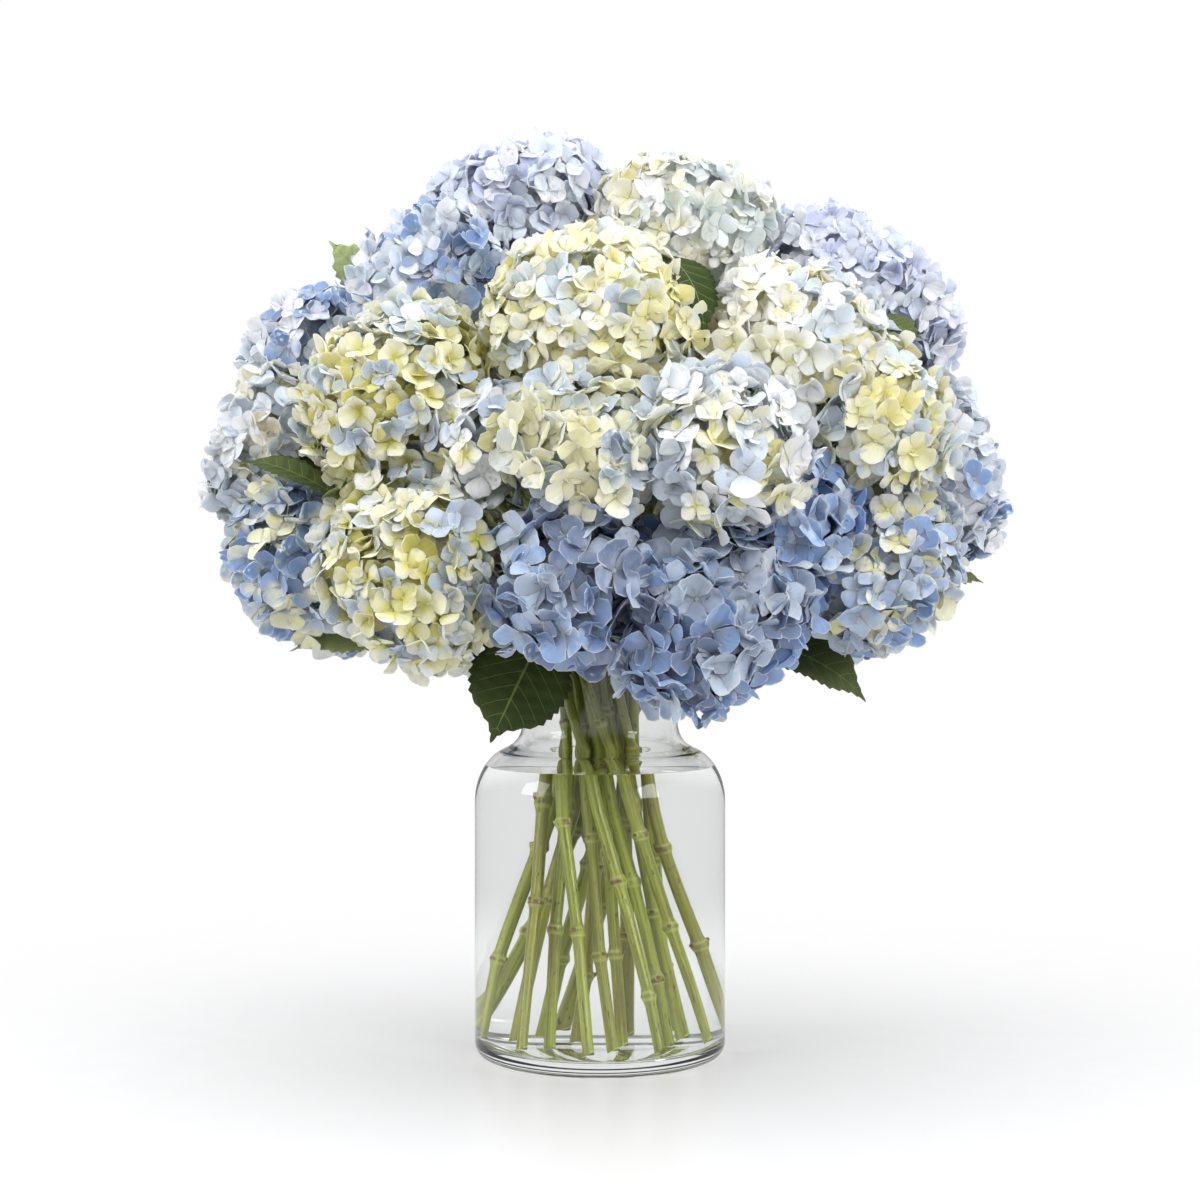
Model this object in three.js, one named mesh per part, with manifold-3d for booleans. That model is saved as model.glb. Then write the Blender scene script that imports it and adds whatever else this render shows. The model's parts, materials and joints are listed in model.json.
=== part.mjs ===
// Cut hydrangeas in a clear glass jar vase, in millimetres, +Z up. The origin is under the vase's middle.
// The bouquet is a spiral: every cane leans the same way round, so the canes pass the neck side by side.

import * as THREE from 'three';
import { mergeVertices } from 'three/addons/utils/BufferGeometryUtils.js';
import { ConvexHull } from 'three/addons/math/ConvexHull.js';
import Module from 'manifold-3d';

const wasm = await Module();
wasm.setup();

const { Vector3 } = THREE;
const TAU = 2 * Math.PI;
const UP = new Vector3(0, 0, 1);
const point = (x, y, z) => new Vector3(x, y, z);
const radians = (degrees) => (degrees * Math.PI) / 180;

// ---------------------------------------------------------------- driving dimensions

const SEAT_GAP = 0.3;

const VASE = {
  segments: 28,
  bodyRadius: 75,
  wall: 3,
  floor: 8,
  footRadius: 66,
  heelHeight: 9,
  innerHeelHeight: 6,
  innerHeelReach: 5,
  shoulderStart: 152,
  shoulderReach: 25,
  shoulderRise: 33,
  shoulderTopAngle: 70,
  neckRadius: 46.5,
  neckStart: 197,
  height: 243,
  rimHeight: 9,
  rimFlare: 2.5,
};

const WATER_LEVEL = 172;

// The canes pass their narrowest point on three nested rings. A ring's lean is mm sideways per mm of height.
// Its first cane stands at firstSlot, in degrees.
const WAIST_HEIGHT = 190;
const BEND_START = 226;
const RINGS = {
  outer: { radius: 21.8, lean: 0.3, cane: 8.6, firstSlot: -124 },
  middle: { radius: 12.9, lean: 0.2, cane: 8.2, firstSlot: -150 },
  inner: { radius: 4.3, lean: 0.08, cane: 7.6, firstSlot: -120 },
};
const CANE_SIDES = 6;
const SHOOT_DIAMETER = 6.4;
const KNUCKLE = { swell: 1.22, length: 9, lowest: 52, spread: 60, step: 37 };
const CUT_SLOPE = 0.7;
const BEND_STATIONS = [0, 0.28, 0.58, 0.88, 1];
const SHOOT_STATIONS = [0, 0.3, 0.6, 0.88, 1];
const FORK = { along: 0.17, lift: 0.7 };

// The heads face away from this point on the vase's axis.
const BOUQUET_FOCUS = point(0, 0, 240);
const HEAD_GAP = 1.6;
const YIELD_FROM = 0.82;
const BURIED_BELOW = 0.8;
const HEAD_COVER = radians(116);
const DOME_SPREAD = 1.16;
const CROWN_FLATTENING = 0.28;
const PIT_REACH = 0.72;
const UNDERSIDE = { reach: 0.5, sites: 4, drop: radians(24) };
const FLORET = { middle: 0.84, lowest: 0.97, unevenness: 0.06, ripple: 0.04 };
const FLORET_WIDTH = 56;
const FIRST_SEED = 101;

// A lobe's corners: how far out, at what bearing from the notch before it, and how high.
const LOBE = [
  [0.6, 0, 0.86],
  [0.92, 27, 0.96],
  [0.92, 63, 0.96],
];
const NECK_DEPTH = 0.6;
const STALK_GAP = 0.7;

// Each head: its middle, its radius, and the name of its colour.
const HEADS = {
  lavender_top: { at: [-48, -5, 506], radius: 54, hue: 'lavender' },
  pale_top: { at: [44, -25, 492], radius: 50, hue: 'pale' },
  lilac_right: { at: [152, 5, 453], radius: 63, hue: 'lavender' },
  blue_upper_left: { at: [-100, -40, 462], radius: 51, hue: 'blue' },
  cream_middle: { at: [1, -108, 424], radius: 60, hue: 'cream' },
  pale_upper_right: { at: [111, -100, 408], radius: 56, hue: 'pale' },
  cream_left: { at: [-113, -105, 386], radius: 53, hue: 'cream' },
  blue_left: { at: [-174, 0, 422], radius: 41, hue: 'blue' },
  mixed_left: { at: [-192, -30, 366], radius: 44, hue: 'pale' },
  blue_lower_left: { at: [-176, -60, 296], radius: 48, hue: 'blue' },
  cream_front: { at: [-101, -135, 285], radius: 56, hue: 'cream' },
  pale_middle: { at: [-5, -158, 352], radius: 49, hue: 'pale' },
  white_middle: { at: [64, -160, 352], radius: 48, hue: 'white' },
  cream_right: { at: [149, -100, 375], radius: 49, hue: 'cream' },
  blue_far_right: { at: [197, -15, 347], radius: 45, hue: 'blue' },
  mixed_lower_right: { at: [157, -85, 295], radius: 55, hue: 'white' },
  blue_front_left: { at: [-13, -165, 280], radius: 47, hue: 'blue' },
  blue_front_right: { at: [61, -145, 265], radius: 58, hue: 'blue' },
  blue_small: { at: [106, -130, 321], radius: 38, hue: 'blue' },
  pale_small: { at: [-63, -140, 358], radius: 33, hue: 'pale' },
  back_lower_right: { at: [152, 42, 288], radius: 59, hue: 'blue' },
  back_low_right: { at: [72, 132, 288], radius: 62, hue: 'cream' },
  back_low_left: { at: [-58, 138, 288], radius: 62, hue: 'blue' },
  back_lower_left: { at: [-154, 46, 281], radius: 56, hue: 'pale' },
  back_right: { at: [152, 85, 374], radius: 60, hue: 'pale' },
  back_middle_right: { at: [38, 150, 376], radius: 62, hue: 'blue' },
  back_middle_left: { at: [-84, 132, 374], radius: 60, hue: 'cream' },
  back_left: { at: [-164, 58, 366], radius: 54, hue: 'blue' },
  back_upper_right: { at: [85, 76, 440], radius: 58, hue: 'cream' },
  back_top: { at: [-10, 95, 456], radius: 57, hue: 'lavender' },
  back_upper_left: { at: [-104, 64, 436], radius: 56, hue: 'pale' },
};

// Each cane carries one head, and most carry a second on a side shoot. They are listed ring by ring.
const CANES = [
  { ring: 'outer', head: 'blue_lower_left', shoot: 'mixed_left' },
  { ring: 'outer', head: 'cream_front', shoot: 'cream_left' },
  { ring: 'outer', head: 'blue_front_left' },
  { ring: 'outer', head: 'blue_front_right', shoot: 'white_middle' },
  { ring: 'outer', head: 'mixed_lower_right', shoot: 'blue_far_right' },
  { ring: 'outer', head: 'back_lower_right', shoot: 'back_right' },
  { ring: 'outer', head: 'back_low_right', shoot: 'back_middle_right' },
  { ring: 'outer', head: 'back_low_left', shoot: 'back_middle_left' },
  { ring: 'outer', head: 'back_lower_left', shoot: 'back_left' },
  { ring: 'middle', head: 'blue_upper_left', shoot: 'blue_left' },
  { ring: 'middle', head: 'pale_middle', shoot: 'pale_small' },
  { ring: 'middle', head: 'cream_middle' },
  { ring: 'middle', head: 'pale_upper_right' },
  { ring: 'middle', head: 'cream_right', shoot: 'blue_small' },
  { ring: 'middle', head: 'lilac_right', shoot: 'back_upper_right' },
  { ring: 'middle', head: 'back_top', shoot: 'back_upper_left' },
  { ring: 'inner', head: 'lavender_top' },
  { ring: 'inner', head: 'pale_top' },
];

// Leaves. Each grows from the cane of a head, at a share (from) of its bend or of its shoot. Its stalk takes a
// way between the heads to its blade, which runs from base to tip and whose upper side has a facing.
const LEAVES = [
  {
    cane: 'cream_front', part: 'bend', from: 0.4,
    way: [[-30, -54, 258]],
    base: [-34, -61, 251], tip: [-62, -77, 192],
    facing: [0.1, -0.9, 0.3], width: 58, arch: 5, teeth: 7,
  },
  {
    cane: 'mixed_lower_right', part: 'bend', from: 0.42,
    way: [],
    base: [86, -54, 251], tip: [153, -64, 216],
    facing: [0.3, -0.6, 0.75], width: 44, arch: 7, teeth: 6,
  },
  {
    cane: 'mixed_lower_right', part: 'shoot', from: 0.6,
    way: [[148, -22, 316], [164, -22, 304]],
    base: [178, -22, 289], tip: [234, -8, 281],
    facing: [0.2, -0.3, 0.9], width: 28, arch: 3, teeth: 5,
  },
  {
    cane: 'blue_lower_left', part: 'bend', from: 0.5,
    way: [],
    base: [-102, -42, 254], tip: [-178, -62, 236],
    facing: [-0.2, -0.4, 0.9], width: 40, arch: 3, teeth: 6,
  },
  {
    cane: 'blue_upper_left', part: 'shoot', from: 0.6,
    way: [[-120, 2, 422], [-128, 6, 440]],
    base: [-136, 9, 459], tip: [-166, -6, 488],
    facing: [-0.5, -0.7, 0.2], width: 24, arch: 3, teeth: 5,
  },
  {
    cane: 'cream_front', part: 'shoot', from: 0.5,
    way: [[-108, -66, 321], [-135, -94, 326]],
    base: [-147, -106, 331], tip: [-203, -84, 352],
    facing: [-0.5, -0.5, 0.7], width: 26, arch: 4, teeth: 6,
  },
  {
    cane: 'cream_front', part: 'shoot', from: 0.45,
    way: [[-108, -66, 321], [-134, -94, 325]],
    base: [-145, -107, 328], tip: [-138, -153, 333],
    facing: [-0.6, 0.1, 0.8], width: 17, arch: 2, teeth: 5,
  },
  {
    cane: 'pale_upper_right', part: 'bend', from: 0.7,
    way: [[57, -59, 428], [55, -80, 456]],
    base: [38, -92, 473], tip: [61, -148, 419],
    facing: [0.75, -0.3, 0.6], width: 24, arch: 6, teeth: 6,
  },
  {
    cane: 'lilac_right', part: 'bend', from: 0.72,
    way: [[134, -27, 385], [156, -47, 411]],
    base: [164, -58, 427], tip: [183, -83, 417],
    facing: [0.2, -0.5, 0.8], width: 23, arch: 3, teeth: 5,
  },
  {
    cane: 'back_low_left', part: 'bend', from: 0.35,
    way: [[2, 55, 259]],
    base: [4, 62, 252], tip: [-4, 82, 196],
    facing: [0, 0.9, 0.3], width: 44, arch: 5, teeth: 6,
  },
];
const LEAF = {
  thickness: 0.9,
  fold: 0.09,
  toothReach: 1.05,
  notchReach: 0.88,
  notch: 0.35,
  stalk: 2.6,
  stalkSides: 4,
  stalkUnder: 0.16,
};

// A leaf that lies on a head presses it flat: the direction of the pressed spot and how far out it is.
const PRESSED = { cream_middle: { toward: [0.8, -0.2, 0.56], at: 47 } };

const COLOURS = {
  glass: { color: 0xe6ecec, roughness: 0.05, metalness: 0 },
  water: { color: 0xdfe8e8, roughness: 0.05, metalness: 0 },
  cane: { color: 0x6f8a35, roughness: 0.6, metalness: 0 },
  blue: { color: 0x86a3dc, roughness: 0.75, metalness: 0 },
  pale: { color: 0xc6d3ea, roughness: 0.75, metalness: 0 },
  white: { color: 0xdfe4ee, roughness: 0.75, metalness: 0 },
  cream: { color: 0xefe8be, roughness: 0.75, metalness: 0 },
  lavender: { color: 0xb0b0e6, roughness: 0.75, metalness: 0 },
};

// ---------------------------------------------------------------- solids

function randomFrom(seed) {
  let state = seed >>> 0;
  return () => {
    state = (state + 0x6d2b79f5) >>> 0;
    let t = Math.imul(state ^ (state >>> 15), 1 | state);
    t = (t + Math.imul(t ^ (t >>> 7), 61 | t)) ^ t;
    return ((t ^ (t >>> 14)) >>> 0) / 4294967296;
  };
}

// A closed geometry as a solid: its shared corners are merged, and its faces are turned outward.
function solidOf(geometry) {
  const bare = geometry.clone();
  bare.deleteAttribute('normal');
  bare.deleteAttribute('uv');
  const merged = mergeVertices(bare, 1e-4);
  const position = merged.getAttribute('position');
  const corner = (i) => new Vector3().fromBufferAttribute(position, i);
  let triangles = [];
  let volume = 0;
  for (let i = 0; i < merged.index.count; i += 3) {
    const [a, b, c] = [0, 1, 2].map((k) => merged.index.getX(i + k));
    if (a === b || b === c || c === a) continue;
    triangles.push([a, b, c]);
    volume += corner(a).dot(corner(b).cross(corner(c)));
  }
  if (volume < 0) triangles = triangles.map(([a, b, c]) => [a, c, b]);
  const mesh = new wasm.Mesh({
    numProp: 3,
    vertProperties: new Float32Array(position.array),
    triVerts: new Uint32Array(triangles.flat()),
  });
  return new wasm.Manifold(mesh);
}

// A geometry from a flat list of coordinates and a flat list of corner numbers.
function geometryFrom(coordinates, corners) {
  const geometry = new THREE.BufferGeometry();
  geometry.setAttribute('position', new THREE.BufferAttribute(new Float32Array(coordinates), 3));
  geometry.setIndex(new THREE.BufferAttribute(new Uint32Array(corners), 1));
  return geometry;
}

const solidFrom = (corners, triangles) =>
  solidOf(geometryFrom(corners.flatMap((corner) => corner.toArray()), triangles.flat()));

function pieceOf(solid, name, colour) {
  const { vertProperties, triVerts } = solid.getMesh();
  const material = new THREE.MeshStandardMaterial(COLOURS[colour]);
  const mesh = new THREE.Mesh(geometryFrom(vertProperties, triVerts), material);
  mesh.name = name;
  return mesh;
}

// ---------------------------------------------------------------- vase and water

function turned(profile) {
  const outline = profile.map(([radius, height]) => new THREE.Vector2(radius, height));
  return new THREE.LatheGeometry(outline, VASE.segments).rotateX(Math.PI / 2);
}

// The shoulder is part of an ellipse that eases into the neck. inset moves it in from the outer face.
function shoulderOutline(inset, topAngle = VASE.shoulderTopAngle, steps = 3) {
  const middle = VASE.bodyRadius - VASE.shoulderReach;
  const reach = VASE.shoulderReach - inset;
  const rise = VASE.shoulderRise - inset;
  return Array.from({ length: steps + 1 }, (_, i) => {
    const angle = radians((topAngle * i) / steps);
    return [middle + reach * Math.cos(angle), VASE.shoulderStart + rise * Math.sin(angle)];
  });
}

function vase() {
  const { wall, floor, bodyRadius, heelHeight, neckRadius, neckStart, height, rimHeight } = VASE;
  const inside = bodyRadius - wall;
  const neckInside = neckRadius - wall;
  const rimRadius = neckRadius + VASE.rimFlare;
  const heelBend = heelHeight * 0.3;
  const outer = [
    [0, 0],
    [VASE.footRadius, 0],
    [bodyRadius - heelBend, heelBend],
    [bodyRadius, heelHeight],
    ...shoulderOutline(0),
    [neckRadius + 2.5, neckStart - 7.5],
    [neckRadius, neckStart],
    [neckRadius, height - rimHeight],
    [rimRadius, height - 2.5],
    [rimRadius - 0.8, height],
  ];
  const inner = [
    [rimRadius - wall + 0.4, height],
    [neckInside, height - rimHeight],
    [neckInside, neckStart - 1],
    [neckInside + 2.9, neckStart - 10],
    ...shoulderOutline(wall).reverse(),
    [inside, floor + VASE.innerHeelHeight],
    [inside - VASE.innerHeelReach, floor + 0.6],
    [0, floor],
  ];
  return solidOf(turned([...outer, ...inner]));
}

// The water fills the vase to its level, just clear of the glass.
function water() {
  const inside = VASE.bodyRadius - VASE.wall - SEAT_GAP;
  const bottom = VASE.floor + SEAT_GAP;
  const inset = VASE.wall + 2.5 * SEAT_GAP;
  const rise = VASE.shoulderRise - inset;
  const topAngle = THREE.MathUtils.radToDeg(Math.asin((WATER_LEVEL - VASE.shoulderStart) / rise));
  const outline = [
    [0, bottom],
    [inside - VASE.innerHeelReach, bottom + 0.6],
    [inside, bottom + VASE.innerHeelHeight],
    ...shoulderOutline(inset, topAngle, 2),
    [0, WATER_LEVEL],
  ];
  return solidOf(turned(outline));
}

// ---------------------------------------------------------------- heads

const headCentre = (name) => point(...HEADS[name].at);
const headAxis = (name) => headCentre(name).sub(BOUQUET_FOCUS).normalize();

// The spot on a head's underside where its stalk meets the cane.
function headNeck(name) {
  return headCentre(name).addScaledVector(headAxis(name), -NECK_DEPTH * HEADS[name].radius);
}

// Two directions square to an axis and to each other.
function sideways(axis) {
  const reference = Math.abs(axis.z) < 0.9 ? UP : point(1, 0, 0);
  const first = new Vector3().crossVectors(axis, reference).normalize();
  return [first, new Vector3().crossVectors(axis, first)];
}

// A direction at an angle from an axis, turned about it.
function tilted(axis, [first, second], angle, turn) {
  return axis
    .clone()
    .multiplyScalar(Math.cos(angle))
    .addScaledVector(first, Math.sin(angle) * Math.cos(turn))
    .addScaledVector(second, Math.sin(angle) * Math.sin(turn));
}

// The flat faces between a head and its neighbours, each by its direction and its distance from the middle.
function crowdingFaces(name) {
  const centre = headCentre(name);
  const { radius } = HEADS[name];
  return Object.keys(HEADS)
    .filter((other) => other !== name)
    .map((other) => {
      const away = headCentre(other).sub(centre);
      const apart = away.length();
      const distance = (apart + (radius ** 2 - HEADS[other].radius ** 2) / apart) / 2;
      return { normal: away.divideScalar(apart), distance: distance - HEAD_GAP };
    })
    .concat(pressedFace(name))
    .filter((face) => face.distance < radius * DOME_SPREAD);
}

function pressedFace(name) {
  if (!PRESSED[name]) return [];
  return [{ normal: point(...PRESSED[name].toward).normalize(), distance: PRESSED[name].at }];
}

// A head gives way softly to its neighbours: its reach eases off towards each face and never meets it.
function crowdedReach(direction, reach, faces) {
  const spare = 1 - YIELD_FROM;
  return faces.reduce((eased, { normal, distance }) => {
    const facing = direction.dot(normal);
    if (facing * eased <= YIELD_FROM * distance) return eased;
    const limit = distance / facing;
    return limit * (1 - spare * Math.exp((YIELD_FROM - eased / limit) / spare));
  }, reach);
}

// The places of the florets: evenly spread round the head from its crown to below its widest part.
function floretPlaces(axis, across, radius, random) {
  const cover = 1 - Math.cos(HEAD_COVER);
  const floretArea = 0.8 * FLORET_WIDTH ** 2;
  const count = Math.round((cover * TAU * radius ** 2) / floretArea);
  const golden = Math.PI * (3 - Math.sqrt(5));
  const start = random() * TAU;
  return Array.from({ length: count }, (_, i) => {
    const height = 1 - (cover * (i + 0.5)) / count;
    return tilted(axis, across, Math.acos(height), start + i * golden);
  });
}

// A mophead: four-lobed florets round a domed head, standing out of the grooves between them, on one stalk.
function head(name, seed) {
  const random = randomFrom(seed);
  const { radius } = HEADS[name];
  const centre = headCentre(name);
  const axis = headAxis(name);
  const across = sideways(axis);
  const faces = crowdingFaces(name);
  const corners = [];
  const cornerAt = (direction, reach) => corners.push(centre.clone().addScaledVector(direction, reach)) - 1;
  const domed = (direction, share) => {
    const crown = Math.max(direction.dot(axis), 0);
    const reach = share * radius * (DOME_SPREAD - CROWN_FLATTENING * crown ** 2);
    return cornerAt(direction, crowdedReach(direction, reach, faces));
  };
  const places = floretPlaces(axis, across, radius, random);
  const half = Math.acos(1 - (1 - Math.cos(HEAD_COVER)) / places.length);
  const sites = places.map((place) => {
    const buried = crowdedReach(place, radius, faces) < radius * BURIED_BELOW;
    if (buried) return { place, middle: domed(place, 0.92), rim: [] };
    return floret(place, half, domed, random);
  });
  for (let i = 0; i < UNDERSIDE.sites; i += 1) {
    const place = tilted(axis, across, HEAD_COVER + UNDERSIDE.drop, (i * TAU) / UNDERSIDE.sites);
    sites.push({ place, middle: domed(place, UNDERSIDE.reach), rim: [] });
  }
  sites.push(stalk(axis, across, NECK_DEPTH * radius - STALK_GAP, cornerAt));
  const pitAt = (direction) =>
    domed(direction, direction.angleTo(axis) < HEAD_COVER ? PIT_REACH : UNDERSIDE.reach);
  return joinedSites(sites, corners, pitAt);
}

// A floret's middle is hollow and its four lobes ripple.
function floret(place, half, domed, random) {
  const around = sideways(place);
  const spin = random() * TAU;
  const stand = FLORET.lowest + FLORET.unevenness * random();
  const rim = [];
  for (let lobe = 0; lobe < 4; lobe += 1) {
    const turn = spin + (lobe * TAU) / 4;
    for (const [spread, bearing, lift] of LOBE) {
      const direction = tilted(place, around, half * spread, turn + radians(bearing));
      rim.push({ direction, index: domed(direction, stand * (lift + FLORET.ripple * random())) });
    }
  }
  return { place, middle: domed(place, stand * FLORET.middle), rim };
}

// The stalk ends in a flat face that looks down the cane.
function stalk(axis, across, length, cornerAt) {
  const angle = Math.atan(SHOOT_DIAMETER / 2 / length);
  const place = axis.clone().negate();
  const rim = Array.from({ length: CANE_SIDES }, (_, i) => {
    const direction = tilted(axis, across, Math.PI - angle, (i * TAU) / CANE_SIDES);
    return { direction, index: cornerAt(direction, length / Math.cos(angle)) };
  });
  return { place, middle: cornerAt(place, length), rim };
}

// One closed skin over all the sites. Where three sites meet there is a pit, to which each of them falls.
function joinedSites(sites, corners, pitAt) {
  const hull = new ConvexHull().setFromPoints(sites.map((site) => site.place));
  const cells = new Map(sites.map((site) => [site.place, []]));
  for (const face of hull.faces) {
    const pit = { direction: face.normal, index: pitAt(face.normal) };
    let edge = face.edge;
    do {
      cells.get(edge.head().point).push(pit);
      edge = edge.next;
    } while (edge !== face.edge);
  }
  const triangles = [];
  for (const { place, middle, rim } of sites) {
    const cell = inOrderRound(place, cells.get(place));
    const inner = rim.length > 0 ? inOrderRound(place, rim) : cell;
    inner.forEach(({ index }, i) => triangles.push([middle, index, inner[(i + 1) % inner.length].index]));
    if (rim.length > 0) triangles.push(...bandBetween(inner, cell));
  }
  return solidFrom(corners, triangles);
}

// A ring of corners sorted by their angle about a direction.
function inOrderRound(place, ring) {
  const [first, second] = sideways(place);
  return ring
    .map(({ direction, index }) => {
      const angle = Math.atan2(direction.dot(second), direction.dot(first));
      return { angle, index };
    })
    .sort((a, b) => a.angle - b.angle);
}

// The band of triangles between an inner and an outer ring, both sorted by angle.
function bandBetween(inner, outer) {
  const at = (ring, i) => ring[i % ring.length].index;
  const angleAt = (ring, i) => ring[i % ring.length].angle + TAU * Math.floor(i / ring.length);
  const band = [];
  let i = 0;
  let j = 0;
  while (i < inner.length || j < outer.length) {
    const innerIsNext = i < inner.length && angleAt(inner, i + 1) <= angleAt(outer, j + 1);
    if (innerIsNext || j >= outer.length) {
      band.push([at(inner, i), at(outer, j), at(inner, i + 1)]);
      i += 1;
    } else {
      band.push([at(inner, i), at(outer, j), at(outer, j + 1)]);
      j += 1;
    }
  }
  return band;
}

// ---------------------------------------------------------------- canes

// A path that is walked from station to station, so that its rings stand close together round a knuckle.
class StationPath extends THREE.Curve {
  constructor(stations) {
    super();
    this.spline = new THREE.CatmullRomCurve3(stations, false, 'centripetal');
  }

  getPoint(t, target = new Vector3()) {
    return this.spline.getPoint(t, target);
  }

  getUtoTmapping(u) {
    return u;
  }
}

// A round stem with a given diameter at each station. cutSlope slants its first end.
function stemAlong(stations, diameters, cutSlope = 0, sides = CANE_SIDES) {
  const section = new THREE.Shape(
    Array.from({ length: sides }, (_, i) => {
      const angle = (i * TAU) / sides;
      return new THREE.Vector2(Math.cos(angle), Math.sin(angle));
    }),
  );
  const extrudePath = new StationPath(stations);
  const steps = stations.length - 1;
  const geometry = new THREE.ExtrudeGeometry(section, { steps, extrudePath, bevelEnabled: false });
  const position = geometry.getAttribute('position');
  const foot = extrudePath.getTangent(0);
  for (let i = 0; i < position.count; i += 1) {
    const corner = new Vector3().fromBufferAttribute(position, i);
    const distances = stations.map((station) => station.distanceTo(corner));
    const nearest = distances.indexOf(Math.min(...distances));
    const offset = corner.clone().sub(stations[nearest]).multiplyScalar(diameters[nearest] / 2);
    corner.copy(stations[nearest]).add(offset);
    if (nearest === 0) corner.addScaledVector(foot, (offset.x + diameters[0] / 2) * cutSlope);
    position.setXYZ(i, corner.x, corner.y, corner.z);
  }
  return solidOf(geometry);
}

// The straight run of a cane: its spot at a height, on the ring where it passes the binding point.
function leaningSpot(ring, slot, height) {
  const { radius, lean } = RINGS[ring];
  const side = lean * (height - WAIST_HEIGHT);
  return point(
    radius * Math.cos(slot) + side * Math.sin(slot),
    radius * Math.sin(slot) - side * Math.cos(slot),
    height,
  );
}

// A bend that leaves one spot in its direction, firmly, and comes into the other in its own.
function bendBetween(start, startDirection, end, endDirection, leavePull = 0.46, arrivePull = 0.3) {
  const span = start.distanceTo(end);
  return new THREE.CubicBezierCurve3(
    start,
    start.clone().addScaledVector(startDirection, span * leavePull),
    end.clone().addScaledVector(endDirection, -span * arrivePull),
    end,
  );
}

// Where each cane stands on its ring, all of a ring's canes evenly spaced.
function caneSlots() {
  const counts = {};
  CANES.forEach(({ ring }) => {
    counts[ring] = (counts[ring] ?? 0) + 1;
  });
  const used = {};
  return CANES.map(({ ring }) => {
    const i = used[ring] ?? 0;
    used[ring] = i + 1;
    return radians(RINGS[ring].firstSlot) + (i * TAU) / counts[ring];
  });
}

// A cane stands on the vase's floor, runs straight past its knuckle to the neck, and bends out to its head.
function caneLine(cane, slot, index) {
  const { cane: diameter, lean } = RINGS[cane.ring];
  const footHeight = VASE.floor + SEAT_GAP + (diameter / 2) * lean;
  const knuckle = KNUCKLE.lowest + ((index * KNUCKLE.step) % KNUCKLE.spread);
  const heights = [footHeight, knuckle - KNUCKLE.length, knuckle, knuckle + KNUCKLE.length, WAIST_HEIGHT];
  const stations = heights.map((height) => leaningSpot(cane.ring, slot, height));
  const diameters = heights.map((height) => (height === knuckle ? diameter * KNUCKLE.swell : diameter));
  const start = leaningSpot(cane.ring, slot, BEND_START);
  const upward = start.clone().sub(stations[0]).normalize();
  const bend = bendBetween(start, upward, headNeck(cane.head), headAxis(cane.head));
  for (const share of BEND_STATIONS) {
    stations.push(bend.getPoint(share));
    diameters.push(THREE.MathUtils.lerp(diameter, SHOOT_DIAMETER, share));
  }
  return { stations, diameters, bend };
}

// The plain hole in the water round a cane, wide enough for its knuckle.
function holeFor(cane, slot) {
  const ends = [VASE.floor - 2, WATER_LEVEL + 6].map((height) => leaningSpot(cane.ring, slot, height));
  const diameter = RINGS[cane.ring].cane * KNUCKLE.swell + 3 * SEAT_GAP;
  return stemAlong(ends, [diameter, diameter]);
}

// A side shoot leaves the cane above the rim, rises, and bends out to its own head.
function shootLine(cane, caneBend) {
  const start = caneBend.getPoint(FORK.along);
  const rising = caneBend.getTangent(FORK.along).lerp(UP, FORK.lift).normalize();
  const bend = bendBetween(start, rising, headNeck(cane.shoot), headAxis(cane.shoot));
  const stations = SHOOT_STATIONS.map((share) => bend.getPoint(share));
  return { stations, diameters: stations.map(() => SHOOT_DIAMETER), bend };
}

// ---------------------------------------------------------------- leaves

// How wide a blade is along its length, from 0 at its base to 1 at its widest and 0 at its tip.
const bladeFullness = (s) => 2.49 * s ** 0.55 * (1 - s) ** 0.8;

// A serrated blade: arched along its rib, its halves raised a little, its teeth pointing at its tip.
function leafBlade({ base, tip, facing, width, arch, teeth }) {
  const start = point(...base);
  const along = point(...tip).sub(start);
  const side = new Vector3().crossVectors(along, point(...facing)).normalize();
  const normal = new Vector3().crossVectors(side, along).normalize();
  const spot = (s, across) =>
    start
      .clone()
      .addScaledVector(along, s)
      .addScaledVector(side, (across * width) / 2)
      .addScaledVector(normal, 4 * arch * s * (1 - s) + Math.abs(across) * width * LEAF.fold);
  const upper = [];
  const add = (corner) => upper.push(corner) - 1;
  const ribs = Array.from({ length: teeth + 1 }, (_, i) => add(spot(i / teeth, 0)));
  const margins = [-1, 1].map((hand) => {
    const margin = [];
    for (let i = 0; i < teeth; i += 1) {
      const tooth = i / teeth;
      const notch = (i + LEAF.notch) / teeth;
      if (i > 0) margin.push(add(spot(tooth, hand * bladeFullness(tooth) * LEAF.toothReach)));
      margin.push(add(spot(notch, hand * bladeFullness(notch) * LEAF.notchReach)));
    }
    return [ribs[0], ...margin, ribs[teeth]];
  });
  const below = upper.length;
  const lower = upper.map((corner) => corner.clone().addScaledVector(normal, -LEAF.thickness));
  const triangles = [];
  margins.forEach((margin, hand) => {
    const flip = ([a, b, c]) => [a, c, b];
    const facingUp = hand === 0 ? (triangle) => triangle : flip;
    const addBothFaces = (triangle) => {
      const top = facingUp(triangle);
      triangles.push(top, flip(top).map((index) => index + below));
    };
    for (let i = 0; i < teeth; i += 1) {
      const [tooth, notch, next] = margin.slice(2 * i, 2 * i + 3);
      if (i > 0) addBothFaces([ribs[i], notch, tooth]);
      addBothFaces([ribs[i], ribs[i + 1], notch]);
      if (i < teeth - 1) addBothFaces([ribs[i + 1], next, notch]);
    }
    for (let i = 0; i + 1 < margin.length; i += 1) {
      const [a, b] = [margin[i], margin[i + 1]];
      triangles.push(facingUp([a, b, b + below]), facingUp([a, b + below, a + below]));
    }
  });
  return solidFrom([...upper, ...lower], triangles);
}

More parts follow.
